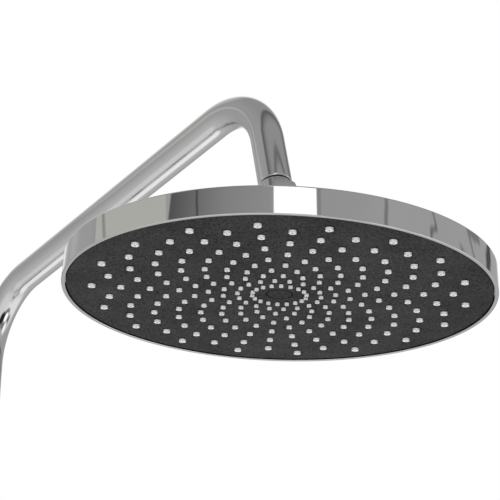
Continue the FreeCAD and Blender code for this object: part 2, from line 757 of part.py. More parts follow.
def collet_low():
    """Where the collet stands."""
    return RISER_TOP + COLLET_SHELF + SEAT


def collar_top():
    """Top of the riser collar, just under the collet's cone."""
    return collet_low() + COLLET_H - COLLET_CONE_H - 1.0


def riser_collar():
    """Threaded collar brazed round the riser's top, with the collet's seat."""
    low = RISER_TOP - COLLAR_BELOW
    high = collar_top()
    bore = RISER_R + SEAT
    collet = TUBE_R + RUN + COLLET_WALL + 0.05
    return revolved([
        (bore, low), (COLLAR_RIM_R - 0.5, low), (COLLAR_RIM_R, low + 0.5),
        (COLLAR_RIM_R, low + COLLAR_RIM_H), (COLLAR_R, low + COLLAR_RIM_H), (COLLAR_R, high - 0.4),
        (COLLAR_R - 0.4, high), (collet + 0.1, high), (collet, high - 0.1),
        (collet, RISER_TOP + COLLET_SHELF), (RISER_BORE_R, RISER_TOP + COLLET_SHELF),
        (RISER_BORE_R, RISER_TOP + SEAT),
        (bore, RISER_TOP + SEAT)])


def collet():
    """Split plastic ring that grips the leg."""
    low = collet_low()
    high = low + COLLET_H
    bore = TUBE_R + RUN
    outer = bore + COLLET_WALL
    body = revolved([
        (bore, low), (outer, low), (outer, high - COLLET_CONE_H), (outer - 1.2, high), (bore, high)])
    slot = Part.makeBox(2 * outer, COLLET_SLOT, 2 * COLLET_H, V(0, -COLLET_SLOT / 2.0, low - 1))
    return body.cut(slot)


def clamp_nut():
    """Fluted nut that closes the collet."""
    low = RISER_TOP - COLLAR_BELOW + COLLAR_RIM_H + 0.4
    collet_top = collet_low() + COLLET_H
    high = collet_top + CLAMP_NUT_TOP
    thread = COLLAR_R + RUN
    mouth = TUBE_R + 0.3
    cone_r = TUBE_R + RUN + COLLET_WALL + 0.12
    body = revolved([
        (thread, low), (CLAMP_NUT_R - 0.6, low), (CLAMP_NUT_R, low + 0.6),
        (CLAMP_NUT_R, high - 2.5), (CLAMP_NUT_R - 0.73, high - 0.73, CLAMP_NUT_R - 2.5, high),
        (mouth, high), (mouth, collet_top + 0.1), (cone_r - 1.2, collet_top + 0.1),
        (cone_r, collet_top - COLLET_CONE_H), (cone_r, collar_top() + 0.1),
        (thread, collar_top() + 0.1)])
    flute = Part.makeCylinder(CLAMP_FLUTE_R, high - low - 6.0,
                              V(CLAMP_NUT_R + CLAMP_FLUTE_R - 0.7, 0, low + 3.0))
    return body.cut(Part.makeCompound(around(flute, CLAMP_FLUTES)))


# ---------------------------------------------------------------------------
# wall bracket
# ---------------------------------------------------------------------------

def wall_plate():
    """Round plate screwed to the wall, with the boss that the post slips over."""
    body = disc(PLATE_R, 0, PLATE_T).fuse(disc(PLATE_BOSS_R, 0, PLATE_T + PLATE_BOSS_L))
    cuts = []
    for side in (-0.5, 0.5):
        cuts.append(Part.makeCylinder(PLATE_HOLE_R, PLATE_T + 2, V(side * PLATE_HOLE_SPACING, 0, -1)))
    return from_wall(body.cut(cuts))


def wall_rosette():
    """Cover cup over the wall plate."""
    bore = POST_OUT_R + 0.1
    inner = ROSETTE_R - ROSETTE_T
    deep = ROSETTE_DEEP
    body = revolved([
        (inner, TRIM), (ROSETTE_R, TRIM), (ROSETTE_R, deep - 3.0),
        (ROSETTE_R - 0.88, deep - 0.88, ROSETTE_R - 3.0, deep), (bore, deep),
        (bore, deep - ROSETTE_T), (inner - 2.0, deep - ROSETTE_T), (inner, deep - ROSETTE_T - 2.0)])
    return from_wall(body)


def post_low():
    """Where the post starts, out from the wall."""
    return PLATE_T + SEAT


def post_high():
    """Where the post meets the bracket clamp."""
    return RISER_OFFSET - BRACKET_BOSS_L


def bracket_post():
    """Post between wall plate and bracket clamp, with its threaded stud."""
    bore = PLATE_BOSS_R + SEAT
    deep = PLATE_T + PLATE_BOSS_L + 0.5
    stud_end = post_high() + POST_STUD_L
    body = revolved([
        (bore, post_low()), (POST_OUT_R, post_low()), (POST_OUT_R, post_high()),
        (POST_STUD_R, post_high()), (POST_STUD_R, stud_end - 0.5), (POST_STUD_R - 0.5, stud_end),
        (0.0, stud_end), (0.0, deep), (bore, deep)])
    tap = Part.makeCylinder(GRUB_R + SEAT, 2 * POST_OUT_R, V(0, 0, grub_place()), V(0, -1, 0))
    return from_wall(body.cut(tap))


def grub_place():
    """Distance of the post's grub screw from the wall."""
    return PLATE_T + PLATE_BOSS_L - GRUB_R - 0.6


def grub_screw():
    """Socket grub screw along +Z, its tip at the origin."""
    body = revolved([
        (0.0, 0.0), (GRUB_R - 0.6, 0.0), (GRUB_R, 0.6), (GRUB_R, GRUB_L - 0.3),
        (GRUB_R - 0.3, GRUB_L), (0.0, GRUB_L)])
    return body.cut(hexagon(GRUB_SOCKET * 1.1547, GRUB_L - 1.8).extrude(V(0, 0, 3)))


def grub_screws():
    """One under the post, one in front of the bracket clamp."""
    lower = grub_screw()
    lower.rotate(V(0, 0, 0), V(1, 0, 0), 180)
    lower.translate(V(0, -grub_place(), -PLATE_BOSS_R - SEAT))
    front = grub_screw()
    front.rotate(V(0, 0, 0), V(1, 0, 0), 90)
    front.translate(V(0, -RISER_OFFSET - RISER_R - SEAT, 0))
    return Part.makeCompound([lower, front])


def bracket_clamp():
    """Ring round the riser with the boss that takes the post."""
    half = BRACKET_H / 2.0
    ring_body = revolved([
        (0.0, -half), (BRACKET_R - 1.0, -half), (BRACKET_R, -half + 1.0), (BRACKET_R, half - 1.0),
        (BRACKET_R - 1.0, half), (0.0, half)])
    boss = Part.makeCylinder(POST_OUT_R, BRACKET_BOSS_L - SEAT, V(0, 0, 0), V(0, 1, 0))
    body = ring_body.fuse(boss)
    cuts = [Part.makeCylinder(RISER_R + SEAT, BRACKET_H + 2, V(0, 0, -half - 1)),
            Part.makeCylinder(POST_STUD_R + RUN, BRACKET_BOSS_L + 1, V(0, 0, 0), V(0, 1, 0)),
            Part.makeCylinder(GRUB_R + SEAT, BRACKET_R + 1, V(0, 0, 0), V(0, -1, 0))]
    return at_riser(body.cut(cuts))


# ---------------------------------------------------------------------------
# lower connection
# ---------------------------------------------------------------------------

def tail_levels():
    """Heights of the connection: collar low, neck low, flange low."""
    collar_low = RISER_BOTTOM - TAIL_COLLAR
    neck_low = collar_low - TAIL_NECK_L
    return collar_low, neck_low, neck_low - TAIL_FLANGE_T


def tail_ferrule():
    """Brazed into the riser's lower end; its flange holds the union nut."""
    collar_low, neck_low, flange_low = tail_levels()
    plug = RISER_BORE_R - SEAT
    return revolved([
        (TAIL_BORE_R, RISER_BOTTOM + TAIL_IN), (plug - 0.5, RISER_BOTTOM + TAIL_IN),
        (plug, RISER_BOTTOM + TAIL_IN - 0.5), (plug, RISER_BOTTOM - SEAT),
        (RISER_R, RISER_BOTTOM - SEAT), (RISER_R, collar_low + 0.5), (RISER_R - 0.5, collar_low),
        (TAIL_NECK_R, collar_low), (TAIL_NECK_R, neck_low), (TAIL_FLANGE_R, neck_low),
        (TAIL_FLANGE_R, flange_low), (TAIL_BORE_R, flange_low)])


def union_nut():
    """Hexagonal union nut that turns on the ferrule."""
    collar_low, neck_low, flange_low = tail_levels()
    shoulder_low = neck_low + 0.1
    high = shoulder_low + UNION_SHOULDER
    thread_top = flange_low - UNION_WASHER_T - 0.2
    low = thread_top - UNION_THREAD_L
    relief = UNION_THREAD_R + UNION_RELIEF
    corner = UNION_AF / math.sqrt(3.0)
    body = hexagon(corner, low).extrude(V(0, 0, high - low))
    cone = revolved([
        (0.0, low), (UNION_AF / 2.0, low), (corner + 0.1, low + 1.3), (corner + 0.1, high - 1.3),
        (UNION_AF / 2.0, high), (0.0, high)])
    body = body.common(cone)
    bore = revolved([
        (0.0, low - 1), (UNION_THREAD_R, low - 1), (UNION_THREAD_R, thread_top),
        (relief, thread_top), (relief, shoulder_low), (TAIL_NECK_R + RUN, shoulder_low),
        (TAIL_NECK_R + RUN, high + 1), (0.0, high + 1)])
    return body.cut(bore)


def union_washer():
    """Rubber washer under the ferrule's flange."""
    flange_low = tail_levels()[2]
    return ring(TAIL_BORE_R + 0.2, TAIL_FLANGE_R + 0.2, flange_low - SEAT - UNION_WASHER_T,
                flange_low - SEAT)


# ---------------------------------------------------------------------------
# assembly
# ---------------------------------------------------------------------------

HEAD_NODES = {
    "head_cover": head_cover,
    "spray_face": spray_face,
    "nozzle_mat": nozzle_mat,
    "chamber_plate": chamber_plate,
    "chamber_seal": chamber_seal,
    "chamber_screws": chamber_screws,
    "inlet_o_ring": inlet_o_ring,
    "centre_screw": centre_screw,
    "centre_cap": centre_cap,
    "ball_nut": ball_nut,
    "ball_seat": ball_seat,
    "ball_o_ring": ball_o_ring,
}

NECK_NODES = {
    "ball_stud": ball_stud,
    "friction_ring": friction_ring,
    "neck_washer": neck_washer,
    "neck_insert": neck_insert,
    "flow_limiter": flow_limiter,
    "filter_washer": filter_washer,
}

RISER_NODES = {
    "slide_ferrule": slide_ferrule,
    "slide_bush": slide_bush,
    "slide_o_rings": slide_o_rings,
    "swivel_o_ring": swivel_o_ring,
    "retaining_ring": retaining_ring,
    "lower_riser": lower_riser,
    "riser_collar": riser_collar,
    "collet": collet,
    "clamp_nut": clamp_nut,
    "tail_ferrule": tail_ferrule,
    "union_nut": union_nut,
    "union_washer": union_washer,
}

PLACED_NODES = {
    "gooseneck_tube": gooseneck_tube,
    "wall_plate": wall_plate,
    "wall_rosette": wall_rosette,
    "bracket_post": bracket_post,
    "bracket_clamp": bracket_clamp,
    "grub_screws": grub_screws,
}

NODES = {}
for name, make in HEAD_NODES.items():
    NODES[name] = in_head(make())
for name, make in NECK_NODES.items():
    NODES[name] = in_neck(make())
for name, make in RISER_NODES.items():
    NODES[name] = at_riser(make())
for name, make in PLACED_NODES.items():
    NODES[name] = make()

for name, shape in NODES.items():
    shape.exportStep("parts/" + name + ".step")
    print("%-16s solids %d valid %s volume %.2f cm3" % (
        name, len(shape.Solids), shape.isValid(), shape.Volume / 1000.0))

path_length = sum(
    [(PATH_POINTS[1] - PATH_POINTS[0]).Length, ARM_LENGTH, NECK_LENGTH,
     BEND_R * math.radians(180.0 - NECK_LEAN)])
section = math.pi * (TUBE_R ** 2 - TUBE_BORE_R ** 2)
print("tube volume %.2f cm3, section times length %.2f cm3" % (
    NODES["gooseneck_tube"].Volume / 1000.0, section * path_length / 1000.0))
print("ball centre", [round(value, 3) for value in BALL_CENTRE])
print("head up", [round(value, 5) for value in HEAD_UP])
print("neck up", [round(-value, 5) for value in NECK_DOWN])
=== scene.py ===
"""Looks of a tubular shower column with a flat round overhead shower.

Lengths are in millimetres in the dataclasses, as on a workshop drawing, and are turned into
metres where a mesh is made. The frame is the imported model's: +Z up, wall at y = 0.
"""

import json
import logging
import math
from dataclasses import dataclass
from enum import Enum
from typing import List, Optional, Sequence, Tuple

import bpy
from mathutils import Matrix, Vector


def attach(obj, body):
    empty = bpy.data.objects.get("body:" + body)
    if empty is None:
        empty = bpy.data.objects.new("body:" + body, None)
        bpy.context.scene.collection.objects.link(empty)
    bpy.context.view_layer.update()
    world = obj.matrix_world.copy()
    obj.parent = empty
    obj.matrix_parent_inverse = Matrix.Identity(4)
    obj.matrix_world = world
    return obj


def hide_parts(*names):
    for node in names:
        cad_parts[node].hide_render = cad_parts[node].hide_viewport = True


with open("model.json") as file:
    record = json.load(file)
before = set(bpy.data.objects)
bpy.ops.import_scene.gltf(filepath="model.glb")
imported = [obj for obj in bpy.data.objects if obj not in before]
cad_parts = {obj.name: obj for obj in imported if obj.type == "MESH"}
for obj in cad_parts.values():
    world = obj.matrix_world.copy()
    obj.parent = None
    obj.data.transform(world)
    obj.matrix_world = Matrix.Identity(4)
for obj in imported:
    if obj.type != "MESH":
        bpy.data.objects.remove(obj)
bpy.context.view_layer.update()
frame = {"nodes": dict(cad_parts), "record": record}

LOG = logging.getLogger("shower_column")
MM = 0.001
SMOOTH_ANGLE = math.radians(32.0)
REFLECTANCE = 0.77
POLE_RADIUS = 0.02
ROUNDING_REACH = 0.49
UP = Vector((0.0, 0.0, 1.0))
OUT = Vector((0.0, -1.0, 0.0))
ORIGIN = Vector((0.0, 0.0, 0.0))

Pair = Tuple[float, float]
Triple = Tuple[float, float, float]
Colour = Tuple[float, float, float, float]
Profile = Sequence[Tuple[float, ...]]
Socket = bpy.types.NodeSocket
Piece = bpy.types.Object


class Body(Enum):
    """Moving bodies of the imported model."""

    RISER = "riser"
    SLIDE = "slide"
    GOOSENECK = "gooseneck"
    SWIVEL = "ball_swivel"
    TILT = "ball_tilt"
    HEAD = "head"
    CLAMP_NUT = "clamp_nut"
    UNION_NUT = "union_nut"


class Slot(Enum):
    """Material slots of the record."""

    CHROME = "chrome"
    CHARCOAL = "charcoal_plastic"
    SILICONE = "grey_silicone"
    WHITE = "white_plastic"
    RUBBER = "black_rubber"
    STEEL = "steel"
    BRASS = "brass"


# ---------------------------------------------------------------------------
# finishes
# ---------------------------------------------------------------------------


def to_linear(value: float) -> float:
    """Turns a screen tone from 0 to 255 into linear light.

    Args:
        value: tone as it shows on a screen.

    Returns:
        Linear value from 0 to 1.
    """
    share = value / 255.0
    if share <= 0.04045:
        return share / 12.92
    return ((share + 0.055) / 1.055) ** 2.4


def grey(value: float, warm: float = 0.0) -> Colour:
    """Linear RGBA of a screen grey.

    Args:
        value: tone from 0 to 255.
        warm: how many tones the blue lies below the red.

    Returns:
        Red, green, blue and alpha.
    """
    return (to_linear(value), to_linear(value), to_linear(value - warm), 1.0)


class Nodes:
    """Small drawing board for one node tree."""

    def __init__(self, tree: bpy.types.NodeTree) -> None:
        """Clears the tree.

        Args:
            tree: node tree of a material or of the world.
        """
        self.tree = tree
        self.tree.nodes.clear()

    def add(self, kind: str, **values: object) -> bpy.types.Node:
        """Adds one node and sets its properties.

        Args:
            kind: node type name.
            values: properties of the node.

        Returns:
            The new node.
        """
        node = self.tree.nodes.new(kind)
        for key, value in values.items():
            setattr(node, key, value)
        return node

    def link(self, source: Socket, target: Socket) -> None:
        """Joins an output to an input."""
        self.tree.links.new(source, target)

    def feed(self, target: Socket, value: object) -> None:
        """Links a socket into a socket, or sets a plain value on it.

        Args:
            target: input socket.
            value: output socket or number.
        """
        if isinstance(value, Socket):
            self.link(value, target)
        else:
            target.default_value = value

    def math(self, operation: str, *values: object) -> Socket:
        """Adds a math node.

        Args:
            operation: name of the operation.
            values: sockets or numbers.

        Returns:
            Its output.
        """
        node = self.add("ShaderNodeMath", operation=operation)
        for index, value in enumerate(values):
            self.feed(node.inputs[index], value)
        return node.outputs[0]

    def ramp(self, value: Socket, stops: Sequence[Tuple[float, Colour]]) -> Socket:
        """Adds a colour ramp.

        Args:
            value: socket that drives it.
            stops: places and colours.

        Returns:
            Its colour output.
        """
        node = self.add("ShaderNodeValToRGB")
        elements = node.color_ramp.elements
        while len(elements) < len(stops):
            elements.new(1.0)
        for element, (place, colour) in zip(elements, stops):
            element.position = place
            element.color = colour
        self.link(value, node.inputs[0])
        return node.outputs["Color"]

    def parts(self, vector: Socket) -> Tuple[Socket, ...]:
        """Splits a vector into x, y and z."""
        node = self.add("ShaderNodeSeparateXYZ")
        self.link(vector, node.inputs[0])
        return tuple(node.outputs)

    def dot(self, vector: Socket, other: Sequence[float]) -> Socket:
        """Dot product of a vector and a fixed one."""
        node = self.add("ShaderNodeVectorMath", operation="DOT_PRODUCT")
        self.link(vector, node.inputs[0])
        node.inputs[1].default_value = other
        return node.outputs["Value"]

    def between(self, value: Socket, limits: Pair, soft: float) -> Socket:
        """1 between two limits and 0 outside them.

        Args:
            value: socket.
            limits: lower and upper limit.
            soft: width of each edge.

        Returns:
            Its output.
        """
        low, high = limits
        rise = self.range(value, low - soft / 2.0, low + soft / 2.0)
        fall = self.range(value, high - soft / 2.0, high + soft / 2.0, 1.0, 0.0)
        return self.math("MULTIPLY", rise, fall)

    def mix(self, share: object, low: object, high: object) -> Socket:
        """Mixes two colours.

        Args:
            share: 0 for low, 1 for high.
            low: first colour or socket.
            high: second colour or socket.

        Returns:
            Its colour output.
        """
        node = self.add("ShaderNodeMix", data_type="RGBA")
        first, second, result = node.inputs[6], node.inputs[7], node.outputs[2]
        self.feed(node.inputs["Factor"], share)
        self.feed(first, low)
        self.feed(second, high)
        return result

    def range(self, value: object, low: float, high: float, to_low: float = 0.0,
              to_high: float = 1.0, smooth: bool = False) -> Socket:
        """Maps a range to another and clamps it.

        Args:
            value: socket.
            low: start of the source range.
            high: end of the source range.
            to_low: result at the start.
            to_high: result at the end.
            smooth: eases both ends.

        Returns:
            Its output.
        """
        node = self.add("ShaderNodeMapRange", clamp=True)
        if smooth:
            node.interpolation_type = "SMOOTHSTEP"
        self.feed(node.inputs["Value"], value)
        ends = {"From Min": low, "From Max": high, "To Min": to_low, "To Max": to_high}
        for name, end in ends.items():
            node.inputs[name].default_value = end
        return node.outputs["Result"]

    def noise(self, vector: Socket, scale: float, detail: float, roughness: float = 0.5) -> Socket:
        """Adds a noise texture.

        Args:
            vector: where it is read.
            scale: patterns to the metre.
            detail: octaves.
            roughness: weight of the finer octaves.

        Returns:
            Its value, from 0 to 1.
        """
        node = self.add("ShaderNodeTexNoise")
        self.link(vector, node.inputs["Vector"])
        for name, value in (("Scale", scale), ("Detail", detail), ("Roughness", roughness)):
            node.inputs[name].default_value = value
        return node.outputs["Fac"]

    def layer(self, share: Socket, low: Socket, high: Socket) -> Socket:
        """Mixes two shaders.

        Args:
            share: 0 for low, 1 for high.
            low: first shader.
            high: second shader.

        Returns:
            The mixed shader.
        """
        node = self.add("ShaderNodeMixShader")
        for index, source in enumerate((share, low, high)):
            self.link(source, node.inputs[index])
        return node.outputs[0]


def new_material(name: str) -> Tuple[bpy.types.Material, Nodes]:
    """Starts a node material.

    Args:
        name: name of the material.

    Returns:
        The material and its empty board.
    """
    material = bpy.data.materials.new(name)
    material.use_nodes = True
    return material, Nodes(material.node_tree)


# parts of the noises' range that steer colour and roughness, and the silicone's scatter
BLEND_SPAN = (0.35, 0.65)
ROUGH_SPAN = (0.3, 0.7)
SCATTER = (0.9 * MM, 0.8 * MM, 0.8 * MM)


@dataclass(frozen=True)
class Finish:
    """One surface finish; sizes of its patterns in millimetres."""

    name: str
    slot: Slot
    colour: Colour
    other: Colour
    metallic: float = 0.0
    roughness: float = 0.5
    roughness_spread: float = 0.1
    grain_mm: float = 0.6
    patch_mm: float = 25.0
    bump: float = 0.1
    bump_mm: float = 0.01
    specular: float = 0.5
    subsurface: float = 0.0
    mottle: float = 0.15

    def pattern(self, board: Nodes) -> Tuple[Socket, Socket]:
        """Fine grain and broad patches of the surface.

        Args:
            board: node board of the material.

        Returns:
            Grain and patches, each from 0 to 1.
        """
        place = board.add("ShaderNodeTexCoord").outputs["Object"]
        return (board.noise(place, 1.0 / (self.grain_mm * MM), detail=3.0),
                board.noise(place, 1.0 / (self.patch_mm * MM), detail=4.0, roughness=0.6))

    def build(self) -> bpy.types.Material:
        """Makes the material.

        Returns:
            A node material.
        """
        material, board = new_material(self.name)
        out = board.add("ShaderNodeOutputMaterial")
        shader = board.add("ShaderNodeBsdfPrincipled")
        board.link(shader.outputs[0], out.inputs["Surface"])
        grain, patches = self.pattern(board)
        speckle = board.math("MULTIPLY", grain, self.mottle)
        cloud = board.math("MULTIPLY", patches, 1.0 - self.mottle)
        blend = board.range(board.math("ADD", speckle, cloud), *BLEND_SPAN)
        board.link(board.mix(blend, self.colour, self.other), shader.inputs["Base Color"])
        shader.inputs["Metallic"].default_value = self.metallic
        shader.inputs["Specular IOR Level"].default_value = self.specular
        shader.inputs["Subsurface Weight"].default_value = self.subsurface
        shader.inputs["Subsurface Radius"].default_value = SCATTER
        rough = board.range(patches, *ROUGH_SPAN, self.roughness - self.roughness_spread,
                            self.roughness + self.roughness_spread)
        board.link(rough, shader.inputs["Roughness"])
        bump = board.add("ShaderNodeBump")
        bump.inputs["Strength"].default_value = self.bump
        bump.inputs["Distance"].default_value = self.bump_mm * MM
        board.link(grain, bump.inputs["Height"])
        board.link(bump.outputs[0], shader.inputs["Normal"])
        return material


@dataclass(frozen=True)
class SteelFinish(Finish):
    """Turned or brushed metal: fine lines round the piece's own axis direction."""

    stretch: Triple = (0.05, 0.05, 1.0)

    def pattern(self, board: Nodes) -> Tuple[Socket, Socket]:
        """Drawn-out grain in place of the round one.

        Args:
            board: node board of the material.

        Returns:
            Grain and patches, each from 0 to 1.
        """
        place = board.add("ShaderNodeTexCoord").outputs["Object"]
        turn = board.add("ShaderNodeMapping")
        board.link(place, turn.inputs["Vector"])
        turn.inputs["Scale"].default_value = self.stretch
        return (board.noise(turn.outputs[0], 1.0 / (self.grain_mm * MM), detail=4.0),
                board.noise(place, 1.0 / (self.patch_mm * MM), detail=2.0))


CHROME = Finish("chrome", Slot.CHROME, grey(226), grey(229), metallic=1.0, roughness=0.035,
                roughness_spread=0.012, grain_mm=9.0, patch_mm=38.0, bump=0.12, bump_mm=0.006)
CHARCOAL = Finish("charcoal_plastic", Slot.CHARCOAL, grey(24), grey(66), roughness=0.6,
                  roughness_spread=0.05, grain_mm=1.2, patch_mm=30.0, bump=0.3, bump_mm=0.03,
                  specular=0.04, mottle=0.7)
SILICONE = Finish("grey_silicone", Slot.SILICONE, grey(212), grey(220), roughness=0.5,
                  roughness_spread=0.06, grain_mm=0.25, patch_mm=14.0, bump=0.15, bump_mm=0.02,
                  specular=0.2, subsurface=0.15)
WHITE = Finish("white_plastic", Slot.WHITE, grey(228, 6), grey(222, 8), roughness=0.45,
               grain_mm=0.5, patch_mm=20.0, bump=0.2, bump_mm=0.02)
RUBBER = Finish("black_rubber", Slot.RUBBER, grey(20), grey(27), roughness=0.6,
                roughness_spread=0.12, grain_mm=0.3, patch_mm=8.0, bump=0.3, bump_mm=0.02,
                specular=0.35)
STEEL = SteelFinish("steel", Slot.STEEL, grey(190), grey(176), metallic=1.0, roughness=0.28,
                    roughness_spread=0.06, grain_mm=0.5, patch_mm=18.0, bump=0.25, bump_mm=0.01)
BRASS = SteelFinish("brass", Slot.BRASS, (0.58, 0.40, 0.15, 1.0), (0.50, 0.33, 0.12, 1.0),
                    metallic=1.0, roughness=0.3, roughness_spread=0.08, grain_mm=0.4,
                    patch_mm=10.0, bump=0.25, bump_mm=0.01)
FINISHES = {finish.slot: finish
            for finish in (CHROME, CHARCOAL, SILICONE, WHITE, RUBBER, STEEL, BRASS)}


class Paintbox:
    """Makes each finish's material once."""

    def __init__(self) -> None:
        """Starts empty."""
        self.made: dict = {}

    def of(self, slot: Slot) -> bpy.types.Material:
        """Material of a slot.

        Args:
            slot: material slot of the record.

        Returns:
            Its material, made at the first call.
        """
        if slot not in self.made:
            self.made[slot] = FINISHES[slot].build()
        return self.made[slot]


PAINTBOX = Paintbox()


# ---------------------------------------------------------------------------
# modelling
# ---------------------------------------------------------------------------


def deselect() -> None:
    """Leaves edit mode and selects nothing."""
    if bpy.context.object is not None and bpy.context.object.mode != "OBJECT":
        bpy.ops.object.mode_set(mode="OBJECT")
    bpy.ops.object.select_all(action="DESELECT")


def pick(piece: Piece) -> None:
    """Makes one piece the only selected one."""
    deselect()
    piece.select_set(True)
    bpy.context.view_layer.objects.active = piece


def settle(piece: Piece) -> None:
    """Puts a piece's place into its mesh."""
    pick(piece)
    bpy.ops.object.transform_apply(location=True, rotation=True, scale=True)


def apply_all(piece: Piece) -> None:
    """Applies every modifier of a piece in order."""
    pick(piece)
    for modifier in list(piece.modifiers):
        bpy.ops.object.modifier_apply(modifier=modifier.name)


def smooth(piece: Piece) -> None:
    """Shades a piece smooth, with its edges kept and its broad faces true."""
    pick(piece)
    bpy.ops.object.shade_smooth_by_angle(angle=SMOOTH_ANGLE)
    weighted = piece.modifiers.new("normals", "WEIGHTED_NORMAL")
    weighted.weight = 100
    weighted.keep_sharp = True
    apply_all(piece)


def point_outwards(piece: Piece) -> None:
    """Merges doubles and turns all faces outwards."""
    pick(piece)
    bpy.ops.object.mode_set(mode="EDIT")
    bpy.ops.mesh.select_all(action="SELECT")
    bpy.ops.mesh.remove_doubles(threshold=0.5e-6)
    bpy.ops.mesh.normals_make_consistent(inside=False)
    bpy.ops.object.mode_set(mode="OBJECT")


def drop(piece: Piece) -> None:
    """Deletes a working piece."""
    bpy.data.objects.remove(piece, do_unlink=True)


def combine(piece: Piece, other: Piece, operation: str = "DIFFERENCE") -> None:
    """Cuts, joins or intersects a piece with another and drops the other.

    Args:
        piece: what stays.
        other: the tool.
        operation: DIFFERENCE, UNION or INTERSECT.
    """
    boolean = piece.modifiers.new("shape", "BOOLEAN")
    boolean.operation = operation
    boolean.solver = "EXACT"
    boolean.object = other
    apply_all(piece)
    drop(other)


def break_edges(piece: Piece, width_mm: float, angle_deg: float, segments: int = 2) -> None:
    """Rounds the sharp edges.

    Args:
        piece: a closed mesh.
        width_mm: width of the rounding.
        angle_deg: smallest angle that counts as an edge.
        segments: faces across the rounding.
    """
    bevel = piece.modifiers.new("edges", "BEVEL")
    bevel.width = width_mm * MM
    bevel.segments = segments
    bevel.limit_method = "ANGLE"
    bevel.angle_limit = math.radians(angle_deg)
    bevel.use_clamp_overlap = True
    bevel.harden_normals = False
    apply_all(piece)


def join(pieces: Sequence[Piece], name: str) -> Piece:
    """Joins working pieces into one.

    Args:
        pieces: objects to join.
        name: name of the result.

    Returns:
        The joined object.
    """
    deselect()
    for piece in pieces:
        piece.select_set(True)
    bpy.context.view_layer.objects.active = pieces[0]
    bpy.ops.object.join()
    pieces[0].name = name
    return pieces[0]


def place(piece: Piece, up: Vector, origin_mm: Vector = ORIGIN) -> Piece:
    """Turns a piece that was built along +Z and puts it in its place.

    Args:
        piece: object built about the origin.
        up: direction that +Z turns to, by the shortest way.
        origin_mm: where the origin goes.

    Returns:
        The piece.
    """
    lean = UP.rotation_difference(up).to_matrix().to_4x4()
    piece.matrix_world = Matrix.Translation(origin_mm * MM) @ lean
    settle(piece)
    return piece


def dress(piece: Piece, body: Body, slot: Slot, *nodes: str) -> Piece:
    """Gives a finished piece its finish and its body.

    Args:
        piece: finished mesh.
        body: body that it rides on.
        slot: material slot.
        nodes: CAD nodes that it stands for.

    Returns:
        The piece.
    """
    piece.data.materials.clear()
    piece.data.materials.append(PAINTBOX.of(slot))
    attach(piece, body.value)
    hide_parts(*nodes)
    LOG.info("%s: %d faces for %s", piece.name, len(piece.data.polygons), ", ".join(nodes))
    return piece


def rounded(profile: Profile, steps: int = 4) -> List[Pair]:
    """Rounds the corners of a profile that ask for it.

    Args:
        profile: (radius, height) or (radius, height, corner radius) in millimetres.
        steps: points along each rounding.

    Returns:
        Plain points.
    """
    points: List[Pair] = []
    count = len(profile)
    for index, corner in enumerate(profile):
        here = Vector(corner[:2])
        radius = corner[2] if len(corner) > 2 else 0.0
        if radius <= 0.0 or index in (0, count - 1):
            points.append((here.x, here.y))
            continue
        before = Vector(profile[index - 1][:2])
        after = Vector(profile[index + 1][:2])
        back = (before - here).normalized()
        ahead = (after - here).normalized()
        half = back.angle(ahead) / 2.0
        reach = min(radius / math.tan(half), ROUNDING_REACH * (before - here).length,
                    ROUNDING_REACH * (after - here).length)
        size = reach * math.tan(half)
        centre = here + (back + ahead).normalized() * (size / math.sin(half))
        start = here + back * reach - centre
        sweep = start.angle_signed(here + ahead * reach - centre)
        for step in range(steps + 1):
            turn = Matrix.Rotation(-sweep * step / steps, 2)
            spot = centre + turn @ start
            points.append((spot.x, spot.y))
    return points


class Rod:
    """Round skin drawn ring by ring in edit mode: a lathe, and a bender for tubes."""

    def __init__(self, name: str, radius: float, sides: int, centre: Vector) -> None:
        """Adds the first ring, level, and enters edit mode.

        Args:
            name: name of the piece.
            radius: first radius in millimetres.
            sides: faces round.
            centre: ring centre in millimetres.
        """
        self.centre = centre.copy()
        self.direction = UP.copy()
        self.radius = radius
        deselect()
        bpy.ops.mesh.primitive_circle_add(vertices=sides, radius=radius * MM, fill_type="NOTHING",
                                          location=self.centre * MM)
        self.piece = bpy.context.object
        self.piece.name = name
        settle(self.piece)
        bpy.ops.object.mode_set(mode="EDIT")
        bpy.ops.mesh.select_all(action="SELECT")

    def forward(self, distance: float, radius: Optional[float] = None) -> None:
        """Extrudes the last ring.

        Args:
            distance: along the axis, in millimetres.
            radius: new radius in millimetres.
        """
        step = self.direction * distance
        bpy.ops.mesh.extrude_edges_move(TRANSFORM_OT_translate={"value": step * MM})
        self.centre = self.centre + step
        if radius is not None and abs(radius - self.radius) > 1e-9:
            share = radius / self.radius
            bpy.ops.transform.resize(value=(share, share, share), center_override=self.centre * MM)
            self.radius = radius

    def bend(self, centre: Vector, axis: Vector, angle: float, steps: int) -> None:
        """Spins the last ring round a bend.

        Args:
            centre: middle of the bend in millimetres.
            axis: axis that the bend turns about, right-handed.
            angle: in radians.
            steps: rings in the bend.
        """
        bpy.ops.mesh.spin(steps=steps, angle=-angle, center=centre * MM, axis=axis)
        turn = Matrix.Rotation(angle, 3, axis)
        self.centre = centre + turn @ (self.centre - centre)
        self.direction = turn @ self.direction

    def trace(self, points: Sequence[Pair]) -> None:
        """Turns a profile, from its second point on.

        Args:
            points: (radius, height) in millimetres.
        """
        height = points[0][1]
        for radius, level in points[1:]:
            self.forward(level - height, radius)
            height = level

    def pole(self) -> None:
        """Closes the last ring in its middle."""
        bpy.ops.mesh.extrude_edges_move(TRANSFORM_OT_translate={"value": (0.0, 0.0, 0.0)})
        bpy.ops.mesh.merge(type="CENTER")

    def lift(self) -> Piece:
        """Leaves edit mode with a closed, smooth piece.

        Returns:
            The piece.
        """
        bpy.ops.object.mode_set(mode="OBJECT")
        point_outwards(self.piece)
        smooth(self.piece)
        return self.piece


